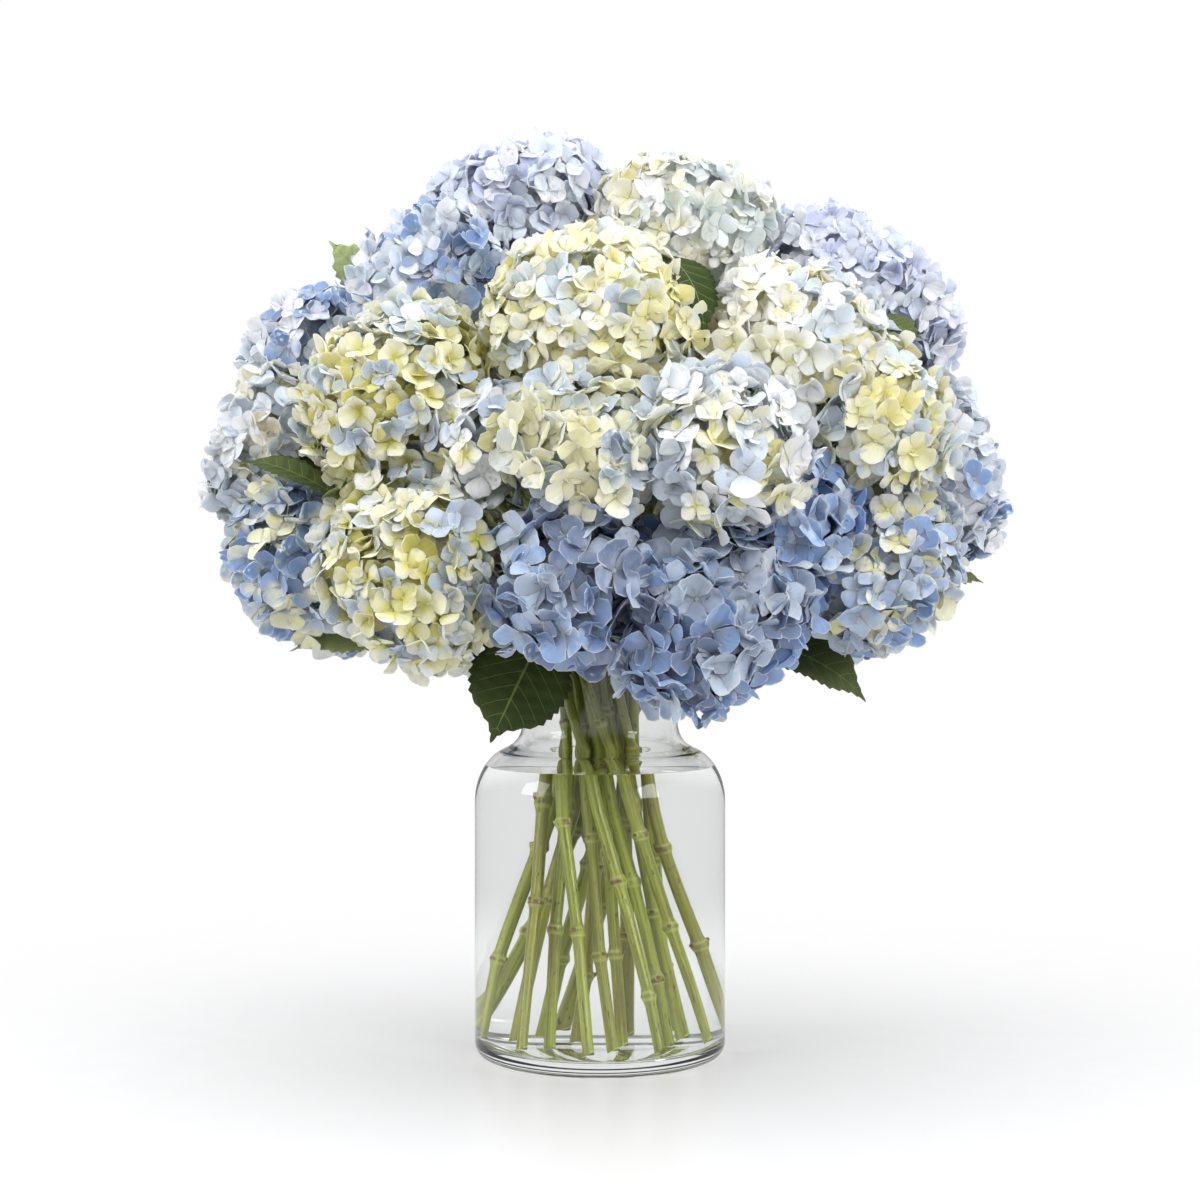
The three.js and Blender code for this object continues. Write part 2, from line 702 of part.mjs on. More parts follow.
// A leaf's stalk runs from inside the cane, between the heads, to a little way under its blade.
function leafStalk(leaf, grownFrom) {
  const base = point(...leaf.base);
  const under = base.clone().lerp(point(...leaf.tip), LEAF.stalkUnder);
  const stations = [grownFrom, ...leaf.way.map((spot) => point(...spot)), base, under];
  return stemAlong(stations, stations.map(() => LEAF.stalk), 0, LEAF.stalkSides);
}

// ---------------------------------------------------------------- assembly

// A cane with its side shoot and its leaves, grown as one.
function leafyCane(cane, slot, index) {
  const { stations, diameters, bend } = caneLine(cane, slot, index);
  const lines = { bend };
  let solid = stemAlong(stations, diameters, CUT_SLOPE);
  if (cane.shoot) {
    const shoot = shootLine(cane, bend);
    lines.shoot = shoot.bend;
    solid = solid.add(stemAlong(shoot.stations, shoot.diameters));
  }
  for (const leaf of LEAVES.filter((each) => each.cane === cane.head)) {
    const grownFrom = lines[leaf.part].getPoint(leaf.from);
    solid = solid.add(leafStalk(leaf, grownFrom)).add(leafBlade(leaf));
  }
  return solid;
}

const arrangement = new THREE.Group();
const slots = caneSlots();

const waterRoundCanes = CANES.reduce((left, cane, i) => left.subtract(holeFor(cane, slots[i])), water());
arrangement.add(pieceOf(vase(), 'vase', 'glass'));
arrangement.add(pieceOf(waterRoundCanes, 'water', 'water'));

CANES.forEach((cane, i) => {
  const number = String(i + 1).padStart(2, '0');
  arrangement.add(pieceOf(leafyCane(cane, slots[i], i), `cane_${number}`, 'cane'));
});

Object.keys(HEADS).forEach((name, i) => {
  arrangement.add(pieceOf(head(name, FIRST_SEED + i), `head_${name}`, HEADS[name].hue));
});

export default arrangement;
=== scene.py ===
"""Cut hydrangeas in a clear glass jar vase: petals, leaves, stems, glass, water and a plain studio."""

import json
import math
import random
from collections import Counter, namedtuple

import bmesh
import bpy
from mathutils import Matrix, Vector

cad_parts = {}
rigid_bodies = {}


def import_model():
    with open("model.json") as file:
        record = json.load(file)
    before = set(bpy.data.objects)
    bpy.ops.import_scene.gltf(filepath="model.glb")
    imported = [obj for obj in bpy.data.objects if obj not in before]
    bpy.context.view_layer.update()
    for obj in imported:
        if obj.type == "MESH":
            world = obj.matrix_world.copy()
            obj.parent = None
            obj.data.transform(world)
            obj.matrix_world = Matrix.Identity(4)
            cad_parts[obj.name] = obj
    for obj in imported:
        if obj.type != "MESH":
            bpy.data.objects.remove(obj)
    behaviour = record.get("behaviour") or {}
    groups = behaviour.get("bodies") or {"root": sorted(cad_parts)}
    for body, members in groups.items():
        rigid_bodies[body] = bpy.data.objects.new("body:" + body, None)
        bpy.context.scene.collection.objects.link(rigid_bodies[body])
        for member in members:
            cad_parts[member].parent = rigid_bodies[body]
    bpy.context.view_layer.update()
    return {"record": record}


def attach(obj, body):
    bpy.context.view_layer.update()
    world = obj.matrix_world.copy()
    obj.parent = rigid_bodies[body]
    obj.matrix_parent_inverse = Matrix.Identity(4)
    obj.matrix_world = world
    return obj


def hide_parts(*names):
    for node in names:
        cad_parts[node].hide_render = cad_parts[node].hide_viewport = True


bl_info = {
    "name": "Hydrangeas in a vase",
    "version": (1, 0, 0),
    "blender": (4, 5, 0),
    "location": "View3D > Sidebar > Hydrangeas",
    "description": "Makes a spiral bouquet of hydrangeas standing in a glass jar of water",
    "category": "Object",
}

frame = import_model()
NODE_SLOTS = {part["node"]: part["material_slot"] for part in frame["record"]["subparts"]}

MM = 0.001
TAU = 2 * math.pi
UP = Vector((0, 0, 1))

# ------------------------------------------------------------------ the arrangement, in millimetres

# The jar and its water. The jar's shoulder is part of an ellipse, outside and inside.
FLOOR = 8.0
SHOULDER_MIDDLE = (50, 152)
SHOULDER_OUTSIDE = (25, 33)
SHOULDER_INSIDE = (22, 30)
SHOULDER_FROM, SHOULDER_TO = 3, 68  # degrees, from the wall to the neck
WATER_LEVEL = 172.0
WATER_CLIMB = 0.35  # at the glass
WATER_OVERLAP = 0.12  # into the glass, so that no air shows between them
WATER_EDGE = math.degrees(  # where the water ends on the shoulder's inner curve
    math.asin((WATER_LEVEL + WATER_CLIMB - SHOULDER_MIDDLE[1]) / SHOULDER_INSIDE[1])
)
GLASS_TINT = (0.975, 0.98, 0.98)
WATER_TINT = (0.985, 0.99, 0.985)
GLASS_BENDS_LIGHT = 1.5
WATER_BENDS_LIGHT = 1.333

# The canes.
WAIST_HEIGHT = 190.0
BEND_START = 226.0
SLIMMER = 0.72  # a cane between its joints, against the diameter that holds its joints too
JOINT_SWELL = 0.33  # added at a joint, as a share of the diameter
JOINT_REACH = 2.6  # of a joint's swelling, up and down
CANE_KINK = 1.5  # sideways at each joint
CUT_SLOPE = 0.7  # of the slanting cut at a cane's foot
SHOOT_FROM = 0.17  # the share of a cane's bend where its side shoot leaves it
SHOOT_DIAMETER = 6.4
STALK_DIAMETER = 2.5
INTO_HEAD = 7.0  # how far a cane or shoot reaches past its head's neck
STRAIGHT_STEP = 2.4  # between two rings of corners on a cane's straight part
BEND_STEP = 4  # and on its bend, its shoot and its stalks
STUB_SIDES = 8

# The leaves.
TOOTH_SPACING = 4.8
TOOTH_DEPTH = 2.6
VEINS_ALONG = 7.5  # side veins on either side of the midrib
PUCKER = 0.55  # between two side veins
MARGIN_THICKNESS = 0.24
MIDRIB_SWELL = 0.9  # added to the margin's thickness at the midrib

# The flower heads. All their axes start from one focus.
FOCUS = Vector((0, 0, 240))
DOME_SPREAD = 1.16  # a dome's reach, in radii of its head
CROWN_FLATTENING = 0.28  # what the reach loses at the crown, in radii
YIELD_FROM = 0.82  # the share of the way to a neighbour where a head starts to give way
HEAD_OVERLAP = 1.0  # how far a dome may pass the plane between two heads
NECK_DEPTH = 0.6  # below the middle of a head, in radii
HEAD_COVER = math.radians(134)  # from the crown to where the florets end

# The florets, where a head has them at size 1.
FLORET_WIDTH = 29
FLORET_DEPTH = 9.0  # from a head's outline in to the middles of its florets
SEPAL_LENGTH = 13.8
SEPAL_WIDTH = 13.6
SEPAL_THICKNESS = 0.35
UNEVENNESS = 3.6  # how far a floret may sink below its layer. It rises by half of that at most
UNDER_DEPTH = 5.8  # from the outer florets down to the layer below them
CORE_DEPTH = 11.5  # and down to the crowd of stalks
# Where a sepal has rows of corners, as shares of its length, and how many faces it has across.
FINE_SEPAL = ((0.0, 0.27, 0.58, 0.85, 1.0), 3)
PLAIN_SEPAL = ((0.0, 0.4, 0.8, 1.0), 2)

# Each ring of canes: its radius at the waist, its lean in mm sideways per mm of height, the canes'
# diameter, and where the first cane stands in degrees.
Ring = namedtuple("Ring", "radius lean diameter first")
RINGS = {
    "outer": Ring(21.8, 0.3, 8.6, -124),
    "middle": Ring(12.9, 0.2, 8.2, -150),
    "inner": Ring(4.3, 0.08, 7.6, -120),
}

# Petal colours as seen in daylight, as red, green and blue out of 255.
HUES = {
    "blue": (144, 170, 210),
    "deep_blue": (122, 156, 214),
    "pale": (218, 228, 240),
    "grey_blue": (194, 206, 222),
    "slate": (128, 142, 172),
    "white": (240, 241, 245),
    "ivory": (241, 239, 221),
    "cream": (239, 236, 200),
    "butter": (238, 231, 156),
    "lime": (214, 208, 98),
    "lavender": (207, 213, 240),
    "violet": (172, 178, 226),
    "peach": (242, 222, 188),
    "ice": (226, 235, 236),
}

# Each head: middle, radius, then its main colour, its second and third colour with the share of
# florets that have them, the colour at the florets' hearts, and the size of its florets.
Head = namedtuple("Head", "middle radius main other other_share touch touch_share heart floret_size")
HEADS = {
    "lavender_top": Head((-48, -5, 506), 54, "white", "lavender", 0.42, "pale", 0.16, "white", 0.78),
    "pale_top": Head((44, -25, 492), 50, "ice", "white", 0.4, "ivory", 0.2, "cream", 0.8),
    "lilac_right": Head((152, 5, 453), 63, "pale", "white", 0.34, "lavender", 0.3, "lavender", 0.78),
    "blue_upper_left": Head((-100, -40, 462), 51, "pale", "blue", 0.48, "white", 0.16, "lavender", 0.82),
    "cream_middle": Head((1, -108, 424), 60, "ivory", "cream", 0.4, "pale", 0.13, "butter", 0.78),
    "pale_upper_right": Head((111, -100, 408), 56, "pale", "ivory", 0.42, "white", 0.2, "butter", 0.82),
    "cream_left": Head((-113, -105, 386), 53, "ivory", "grey_blue", 0.3, "cream", 0.16, "lime", 0.78),
    "blue_left": Head((-174, 0, 422), 41, "pale", "blue", 0.5, "white", 0.1, "pale", 0.8),
    "mixed_left": Head((-192, -30, 366), 44, "ivory", "pale", 0.42, "white", 0.14, "cream", 0.8),
    "blue_lower_left": Head((-176, -60, 296), 48, "blue", "grey_blue", 0.34, "cream", 0.1, "ivory", 0.86),
    "cream_front": Head((-101, -135, 285), 56, "ivory", "cream", 0.4, "grey_blue", 0.16, "lime", 0.76),
    "pale_middle": Head((-5, -158, 352), 49, "grey_blue", "ivory", 0.4, "cream", 0.08, "cream", 0.88),
    "white_middle": Head((64, -160, 352), 48, "white", "ivory", 0.34, "pale", 0.26, "butter", 0.88),
    "cream_right": Head((149, -100, 375), 49, "ivory", "pale", 0.4, "cream", 0.12, "butter", 0.8),
    "blue_far_right": Head((197, -15, 347), 45, "pale", "blue", 0.2, "white", 0.3, "pale", 0.82),
    "mixed_lower_right": Head((157, -85, 295), 55, "ivory", "grey_blue", 0.36, "blue", 0.1, "butter", 0.84),
    "blue_front_left": Head((-13, -165, 280), 47, "slate", "blue", 0.3, "grey_blue", 0.2, "pale", 1.04),
    "blue_front_right": Head((61, -145, 265), 58, "blue", "grey_blue", 0.36, "slate", 0.12, "ivory", 1.02),
    "blue_small": Head((106, -130, 321), 38, "blue", "deep_blue", 0.3, "pale", 0.24, "pale", 1.02),
    "pale_small": Head((-63, -140, 358), 33, "grey_blue", "ivory", 0.36, "white", 0.2, "butter", 0.86),
    "back_lower_right": Head((152, 42, 288), 59, "blue", "pale", 0.4, "ivory", 0.1, "pale", 0.88),
    "back_low_right": Head((72, 132, 288), 62, "ivory", "cream", 0.4, "pale", 0.2, "lime", 0.82),
    "back_low_left": Head((-58, 138, 288), 62, "blue", "pale", 0.36, "ivory", 0.12, "pale", 0.92),
    "back_lower_left": Head((-154, 46, 281), 56, "pale", "blue", 0.4, "ivory", 0.16, "ivory", 0.88),
    "back_right": Head((152, 85, 374), 60, "pale", "blue", 0.34, "ivory", 0.2, "butter", 0.84),
    "back_middle_right": Head((38, 150, 376), 62, "blue", "pale", 0.38, "lavender", 0.18, "pale", 0.86),
    "back_middle_left": Head((-84, 132, 374), 60, "ivory", "cream", 0.36, "pale", 0.24, "lime", 0.82),
    "back_left": Head((-164, 58, 366), 54, "blue", "pale", 0.42, "ivory", 0.12, "pale", 0.84),
    "back_upper_right": Head((85, 76, 440), 58, "ivory", "cream", 0.34, "pale", 0.2, "butter", 0.8),
    "back_top": Head((-10, 95, 456), 57, "lavender", "pale", 0.4, "white", 0.12, "violet", 0.8),
    "back_upper_left": Head((-104, 64, 436), 56, "pale", "ivory", 0.34, "blue", 0.22, "ivory", 0.8),
}

# Where a patch of florets on a head turns to another colour: head, middle of the patch, its radius,
# and its colour.
PATCHES = [
    ("cream_front", (-94, -195, 283), 30, "lime"),
    ("cream_front", (-110, -170, 335), 26, "white"),
    ("cream_left", (-82, -155, 362), 28, "lime"),
    ("cream_left", (-112, -120, 430), 30, "pale"),
    ("cream_middle", (40, -150, 420), 34, "butter"),
    ("cream_middle", (-38, -140, 400), 30, "cream"),
    ("cream_middle", (-10, -120, 478), 26, "ivory"),
    ("pale_top", (20, -60, 520), 18, "butter"),
    ("pale_top", (72, -50, 512), 20, "pale"),
    ("pale_upper_right", (90, -150, 402), 26, "cream"),
    ("pale_upper_right", (75, -140, 432), 22, "ivory"),
    ("white_middle", (78, -206, 352), 24, "butter"),
    ("white_middle", (52, -190, 395), 28, "white"),
    ("mixed_lower_right", (182, -112, 258), 26, "cream"),
    ("mixed_lower_right", (178, -130, 262), 26, "butter"),
    ("mixed_lower_right", (120, -140, 300), 26, "ivory"),
    ("mixed_lower_right", (196, -76, 326), 24, "pale"),
    ("pale_middle", (-40, -190, 368), 24, "cream"),
    ("pale_middle", (28, -190, 372), 20, "grey_blue"),
    ("cream_right", (158, -146, 378), 19, "butter"),
    ("cream_right", (125, -145, 350), 24, "ivory"),
    ("cream_right", (194, -96, 356), 22, "pale"),
    ("mixed_left", (-176, -70, 378), 24, "peach"),
    ("mixed_left", (-222, -40, 350), 26, "blue"),
    ("blue_far_right", (190, -60, 312), 15, "butter"),
    ("lavender_top", (-75, -30, 530), 28, "lavender"),
    ("lavender_top", (-6, -36, 520), 16, "violet"),
    ("blue_upper_left", (-92, -88, 452), 22, "deep_blue"),
    ("lilac_right", (120, -45, 470), 26, "white"),
    ("lilac_right", (205, -20, 455), 24, "lavender"),
    ("lilac_right", (175, -48, 425), 16, "blue"),
    ("blue_left", (-190, -25, 440), 22, "white"),
    ("blue_front_right", (80, -190, 290), 22, "ivory"),
]

# Where a head is fuller or flatter than a plain dome: head, the way, and by how many mm.
LUMPS = [
    ("lavender_top", (-0.6, 0, 0.8), -9),
    ("lavender_top", (-0.15, 0, 1), -13),
    ("blue_upper_left", (-0.75, 0, 0.66), -18),
    ("blue_upper_left", (-1, 0, 0.1), -8),
    ("pale_top", (0.93, 0, 0.36), 8),
    ("lilac_right", (0.22, 0, 0.97), -12),
    ("lilac_right", (0.7, 0, 0.7), -14),
    ("lilac_right", (1, 0, 0.2), -8),
    ("lilac_right", (0.9, 0, -0.44), 4),
    ("blue_far_right", (0.1, 0, 1), 16),
    ("blue_far_right", (0.6, 0, -0.8), 8),
    ("blue_far_right", (1, 0, 0), -4),
    ("mixed_left", (-0.98, 0, 0.2), -12),
    ("mixed_left", (-0.67, 0, -0.74), 8),
    ("back_upper_left", (-0.66, 0, 0.75), -14),
    ("cream_front", (-0.61, 0, -0.79), -20),
    ("cream_front", (0.5, 0, -0.86), -8),
    ("blue_lower_left", (-0.4, 0, -0.92), -8),
    ("blue_lower_left", (-0.85, 0, -0.5), -12),
    ("back_lower_left", (-0.92, 0, -0.39), -12),
    ("back_lower_left", (-0.75, 0, -0.66), -11),
    ("back_lower_left", (0.1, 0, -1), -30),
    ("mixed_lower_right", (0.3, 0, -0.95), -12),
    ("mixed_lower_right", (0.75, 0, -0.65), -8),
    ("back_lower_right", (0.7, 0, -0.7), -10),
    ("back_lower_right", (0, 0, -1), -9),
    ("blue_front_right", (0.25, 0, -0.97), -11),
    ("blue_front_right", (0.8, 0, -0.6), -14),
    ("blue_front_left", (0, 0, -1), -11),
]

# Dark hollows between heads, where no florets stand: their middles and radii.
HOLLOWS = [
    ((-159, -52, 347), 21),
    ((-45, -174, 329), 20),
    ((26, -169, 315), 18),
    ((4, -202, 264), 11),
    ((79, -180, 312), 12),
    ((95, -173, 302), 11),
    ((-72, -118, 417), 13),
    ((-71, -136, 391), 11),
    ((-56, -186, 287), 10),
    ((25, -188, 335), 11),
]

# Each cane: its ring, the head on it, and the head on its side shoot.
CANES = [
    ("outer", "blue_lower_left", "mixed_left"),
    ("outer", "cream_front", "cream_left"),
    ("outer", "blue_front_left", None),
    ("outer", "blue_front_right", "white_middle"),
    ("outer", "mixed_lower_right", "blue_far_right"),
    ("outer", "back_lower_right", "back_right"),
    ("outer", "back_low_right", "back_middle_right"),
    ("outer", "back_low_left", "back_middle_left"),
    ("outer", "back_lower_left", "back_left"),
    ("middle", "blue_upper_left", "blue_left"),
    ("middle", "pale_middle", "pale_small"),
    ("middle", "cream_middle", None),
    ("middle", "pale_upper_right", None),
    ("middle", "cream_right", "blue_small"),
    ("middle", "lilac_right", "back_upper_right"),
    ("middle", "back_top", "back_upper_left"),
    ("inner", "lavender_top", None),
    ("inner", "pale_top", None),
]

# Each leaf: the head whose cane it grows from, on its bend or its shoot and how far along, the way
# of its stalk, base, tip, the way its upper side looks, width, arch, and how pale and young it is.
Leaf = namedtuple("Leaf", "head grows_on share way base tip facing width arch young")
LEAVES = [
    Leaf(
        "cream_front", "bend", 0.4, [(-30, -54, 258)],
        (-34, -61, 251), (-62, -77, 192), (0.1, -0.9, 0.3), 58, 5, 0.1,
    ),
    Leaf(
        "mixed_lower_right", "bend", 0.42, [],
        (86, -54, 251), (153, -64, 216), (0.3, -0.6, 0.75), 52, 7, 0.2,
    ),
    Leaf(
        "mixed_lower_right", "shoot", 0.6, [(148, -22, 316), (164, -22, 304)],
        (176, -22, 290), (229, -12, 284), (0.1, -0.6, 0.8), 28, 3, 0.3,
    ),
    Leaf(
        "blue_lower_left", "bend", 0.5, [],
        (-102, -42, 262), (-176, -72, 245), (-0.1, -0.8, 0.6), 40, 4, 0.75,
    ),
    Leaf(
        "blue_upper_left", "shoot", 0.6, [(-120, 2, 422), (-128, 6, 440)],
        (-130, 9, 457), (-162, -6, 487), (-0.4, -0.8, 0.3), 27, 3, 0.95,
    ),
    Leaf(
        "cream_front", "shoot", 0.5, [(-108, -66, 321), (-135, -94, 326)],
        (-147, -106, 331), (-203, -84, 352), (-0.1, -0.34, 0.94), 26, 4, 0.15,
    ),
    Leaf(
        "cream_front", "shoot", 0.45, [(-108, -66, 321), (-134, -94, 325)],
        (-145, -107, 328), (-138, -153, 333), (-0.6, 0.1, 0.8), 17, 2, 0.5,
    ),
    Leaf(
        "pale_upper_right", "bend", 0.7, [(57, -59, 428), (55, -80, 456)],
        (36, -92, 465), (57, -147, 412), (0.42, -0.76, 0.48), 28, 9, 0.06,
    ),
    Leaf(
        "lilac_right", "bend", 0.72, [(134, -27, 385), (156, -47, 411)],
        (150, -68, 430), (180, -94, 419), (0.1, -0.7, 0.7), 21, 3, 0.2,
    ),
    Leaf(
        "back_low_left", "bend", 0.35, [(2, 55, 259)],
        (4, 62, 252), (-4, 82, 196), (0, 0.9, 0.3), 44, 5, 0.2,
    ),
]

# A leaf lies in the gap beside a head, which gives way to it: head, the way, and how far out.
LEAF_GAPS = [
    ("cream_middle", (0.8, -0.2, 0.56), 47),
]

OPENINGS = (1.0, 0.9, 0.8, 0.72, 0.64, 0.55, 0.86, 0.46, 0.95, 0.68)  # how far each floret is open
UNDER_OPENINGS = (1.0, 0.9, 0.8, 0.95)

# ------------------------------------------------------------------ the studio, in metres

# Each lamp: its place, its width and height, and its power. All look at one spot.
LAMPS = {
    "left_softbox": ((-1.75, -0.8, 1.05), 0.9, 0.8, 10),
    "right_softbox": ((1.4, -1.35, 1.05), 0.7, 0.8, 11),
    "overhead": ((-0.1, -0.45, 2.1), 1.6, 1.2, 5),
}
LAMP_TARGET = (0, 0, 0.3)
FLOOR_RADIUS = 14
FLOOR_DROP = 0.0002
SEEN, THROUGH, MIRRORED = 1.0, 0.8, 0.45  # how bright the white studio looks straight on and in glass
CAMERA_PLACE = (0, -1.32, 0.2725)
LENS = 66  # this and the next in millimetres, as cameras have them
SENSOR_WIDTH = 36


def from_daylight(hue):
    """A colour out of 255 as the linear colour that shaders and attributes use."""
    return tuple(((c / 255 + 0.055) / 1.055) ** 2.4 if c > 10 else c / 255 / 12.92 for c in hue)


# ------------------------------------------------------------------ properties


class BouquetSizes(bpy.types.PropertyGroup):
    """Sizes of the bouquet that can be changed before its pieces are made."""

    floret_width: bpy.props.FloatProperty(
        name="Floret width", description="Across the four sepals of an open floret",
        default=FLORET_WIDTH * MM, min=0.01, max=0.05, unit="LENGTH",
    )
    floret_spacing: bpy.props.FloatProperty(
        name="Floret spacing", description="Least distance between the middles of two florets",
        default=12.0 * MM, min=0.008, max=0.05, unit="LENGTH",
    )
    floret_tilt: bpy.props.FloatProperty(
        name="Floret tilt", description="How far a floret may lean away from straight out",
        default=math.radians(34), min=0, max=1.2, unit="ROTATION",
    )
    petal_ripple: bpy.props.FloatProperty(
        name="Petal ripple", description="How far the sepals wave out of their plain shape",
        default=2.8 * MM, min=0, max=0.01, unit="LENGTH",
    )
    cane_sides: bpy.props.IntProperty(
        name="Cane sides", description="Sides of a cane's round section", default=16, min=6, max=48,
    )
    glass_sides: bpy.props.IntProperty(
        name="Glass sides", description="Steps round the vase and the water", default=160, min=24, max=400,
    )
    seed: bpy.props.IntProperty(
        name="Seed", description="Changes where each floret sits", default=7, min=0,
    )


class BouquetColours(bpy.types.PropertyGroup):
    """Colours of the stems, leaves and studio floor."""

    stem: bpy.props.FloatVectorProperty(
        name="Stem", description="Green of the canes in the light", subtype="COLOR",
        default=from_daylight((146, 156, 56)), min=0, max=1,
    )
    joint: bpy.props.FloatVectorProperty(
        name="Joint", description="Brown of the scars round a cane's joints", subtype="COLOR",
        default=from_daylight((104, 74, 34)), min=0, max=1,
    )
    leaf: bpy.props.FloatVectorProperty(
        name="Leaf", description="Green of the leaves' upper side", subtype="COLOR",
        default=from_daylight((22, 43, 7)), min=0, max=1,
    )
    young_leaf: bpy.props.FloatVectorProperty(
        name="Young leaf", description="Green of the palest leaves", subtype="COLOR",
        default=from_daylight((186, 198, 138)), min=0, max=1,
    )
    floor: bpy.props.FloatVectorProperty(
        name="Floor", description="Colour of the studio floor", subtype="COLOR",
        default=(0.74, 0.74, 0.75), min=0, max=1,
    )


# ------------------------------------------------------------------ small tools


def add_node(tree, kind, inputs=None, **settings):
    """Adds a node, sets its options, and fills or links its inputs by name or number."""
    node = tree.nodes.new(kind)
    for name, value in settings.items():
        setattr(node, name, value)
    for key, value in (inputs or {}).items():
        if isinstance(value, bpy.types.NodeSocket):
            tree.links.new(value, node.inputs[key])
        else:
            node.inputs[key].default_value = value
    return node


def new_object(name, data):
    piece = bpy.data.objects.new(name, data)
    bpy.context.scene.collection.objects.link(piece)
    return piece


def mesh_from(name, corners, faces):
    """A mesh from corners in millimetres."""
    mesh = bpy.data.meshes.new(name)
    mesh.from_pydata([Vector(corner) * MM for corner in corners], [], faces)
    mesh.validate()
    return mesh


def store(mesh, name, kind, values):
    """Stores one value for each corner of a mesh."""
    attribute = mesh.attributes.new(name, kind, "POINT")
    key = {"FLOAT": "value", "FLOAT_VECTOR": "vector", "FLOAT_COLOR": "color"}[kind]
    flat = values if kind == "FLOAT" else [part for value in values for part in value]
    attribute.data.foreach_set(key, flat)


def ring_of_corners(radius, sides, height):
    """The corners of a flat ring round the Z axis."""
    return [
        Vector((radius * math.cos(TAU * i / sides), radius * math.sin(TAU * i / sides), height))
        for i in range(sides)
    ]


def smooth(mesh):
    mesh.shade_smooth()
    return mesh


def keep_piece(piece, slot, *nodes):
    """Rides a finished piece on the object and hides the parts that it stands for."""
    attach(piece, "root")
    if nodes:
        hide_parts(*nodes)


def baked_mesh(piece):
    """The mesh that the piece's modifiers make, with the modifiers then taken off."""
    depsgraph = bpy.context.evaluated_depsgraph_get()
    mesh = bpy.data.meshes.new_from_object(
        piece.evaluated_get(depsgraph), preserve_all_data_layers=True, depsgraph=depsgraph
    )
    piece.modifiers.clear()
    old = piece.data
    piece.data = mesh
    bpy.data.meshes.remove(old)
    mesh.name = piece.name
    return mesh


def nodes_modifier(piece, tree, values):
    """Puts a node tree on a piece and sets its inputs by name."""
    modifier = piece.modifiers.new(tree.name, "NODES")
    modifier.node_group = tree
    for item in tree.interface.items_tree:
        if item.item_type == "SOCKET" and item.in_out == "INPUT" and item.name in values:
            modifier[item.identifier] = values[item.name]


def new_tree(name, sockets):
    """A node tree with a geometry input and output and the named inputs."""
    tree = bpy.data.node_groups.new(name, "GeometryNodeTree")
    tree.interface.new_socket(name="Geometry", in_out="INPUT", socket_type="NodeSocketGeometry")
    for label, kind in sockets:
        tree.interface.new_socket(name=label, in_out="INPUT", socket_type=kind)
    tree.interface.new_socket(name="Geometry", in_out="OUTPUT", socket_type="NodeSocketGeometry")
    given = tree.nodes.new("NodeGroupInput").outputs
    result = tree.nodes.new("NodeGroupOutput").inputs["Geometry"]
    return tree, given, result


def named(tree, name, kind="FLOAT"):
    """A value that the mesh carries, for geometry nodes."""
    return add_node(tree, "GeometryNodeInputNamedAttribute", {"Name": name}, data_type=kind).outputs[0]


def stored(tree, geometry, name, value, kind="FLOAT"):
    """The geometry with one more value for each corner."""
    return add_node(
        tree, "GeometryNodeStoreNamedAttribute", {"Geometry": geometry, "Name": name, "Value": value},
        data_type=kind, domain="POINT",
    ).outputs[0]


def first_node(tree, kind):
    return next(node for node in tree.nodes if node.type == kind)


# ------------------------------------------------------------------ materials


def new_material(name):
    material = bpy.data.materials.new(name)
    material.use_nodes = True
    tree = material.node_tree
    return material, tree, first_node(tree, "BSDF_PRINCIPLED")


def attribute(tree, name, output="Fac"):
    return add_node(tree, "ShaderNodeAttribute", attribute_name=name).outputs[output]


def math_node(tree, operation, *values, clamp=False):
    return add_node(
        tree, "ShaderNodeMath", dict(enumerate(values)), operation=operation, use_clamp=clamp
    ).outputs[0]


def ease(tree, value, start, end, low=0.0, high=1.0):
    """Eases from low to high while the value goes from start to end."""
    return add_node(
        tree, "ShaderNodeMapRange",
        {"Value": value, "From Min": start, "From Max": end, "To Min": low, "To Max": high},
        interpolation_type="SMOOTHSTEP",
    ).outputs["Result"]


def mixed(tree, factor, first, second, blend="MIX"):
    """Mixes two colours, each a colour or a socket."""
    def plain(value):
        return value if isinstance(value, bpy.types.NodeSocket) else (*value, 1.0)

    return add_node(
        tree, "ShaderNodeMix", {0: factor, 6: plain(first), 7: plain(second)},
        data_type="RGBA", blend_type=blend, clamp_factor=True,
    ).outputs[2]


def noise_node(tree, scale, detail=3.0, vector=None, roughness=0.5):
    where = vector or add_node(tree, "ShaderNodeTexCoord").outputs["Object"]
    return add_node(
        tree, "ShaderNodeTexNoise",
        {"Vector": where, "Scale": scale, "Detail": detail, "Roughness": roughness},
    ).outputs["Fac"]


def combined(tree, x, y, z):
    return add_node(tree, "ShaderNodeCombineXYZ", {0: x, 1: y, 2: z}).outputs[0]


def coated(tree, shader, colour, roughness, gloss=0.5):
    """Gives a shader its colour, how rough it is and how strongly it mirrors."""
    tree.links.new(colour, shader.inputs["Base Color"])
    shader.inputs["Roughness"].default_value = roughness
    shader.inputs["Specular IOR Level"].default_value = gloss


def bumped(tree, shader, height, strength, depth):
    """Makes a shader's surface look uneven, by a depth in millimetres."""
    bump = add_node(
        tree, "ShaderNodeBump", {"Strength": strength, "Distance": depth * MM, "Height": height}
    ).outputs[0]
    tree.links.new(bump, shader.inputs["Normal"])


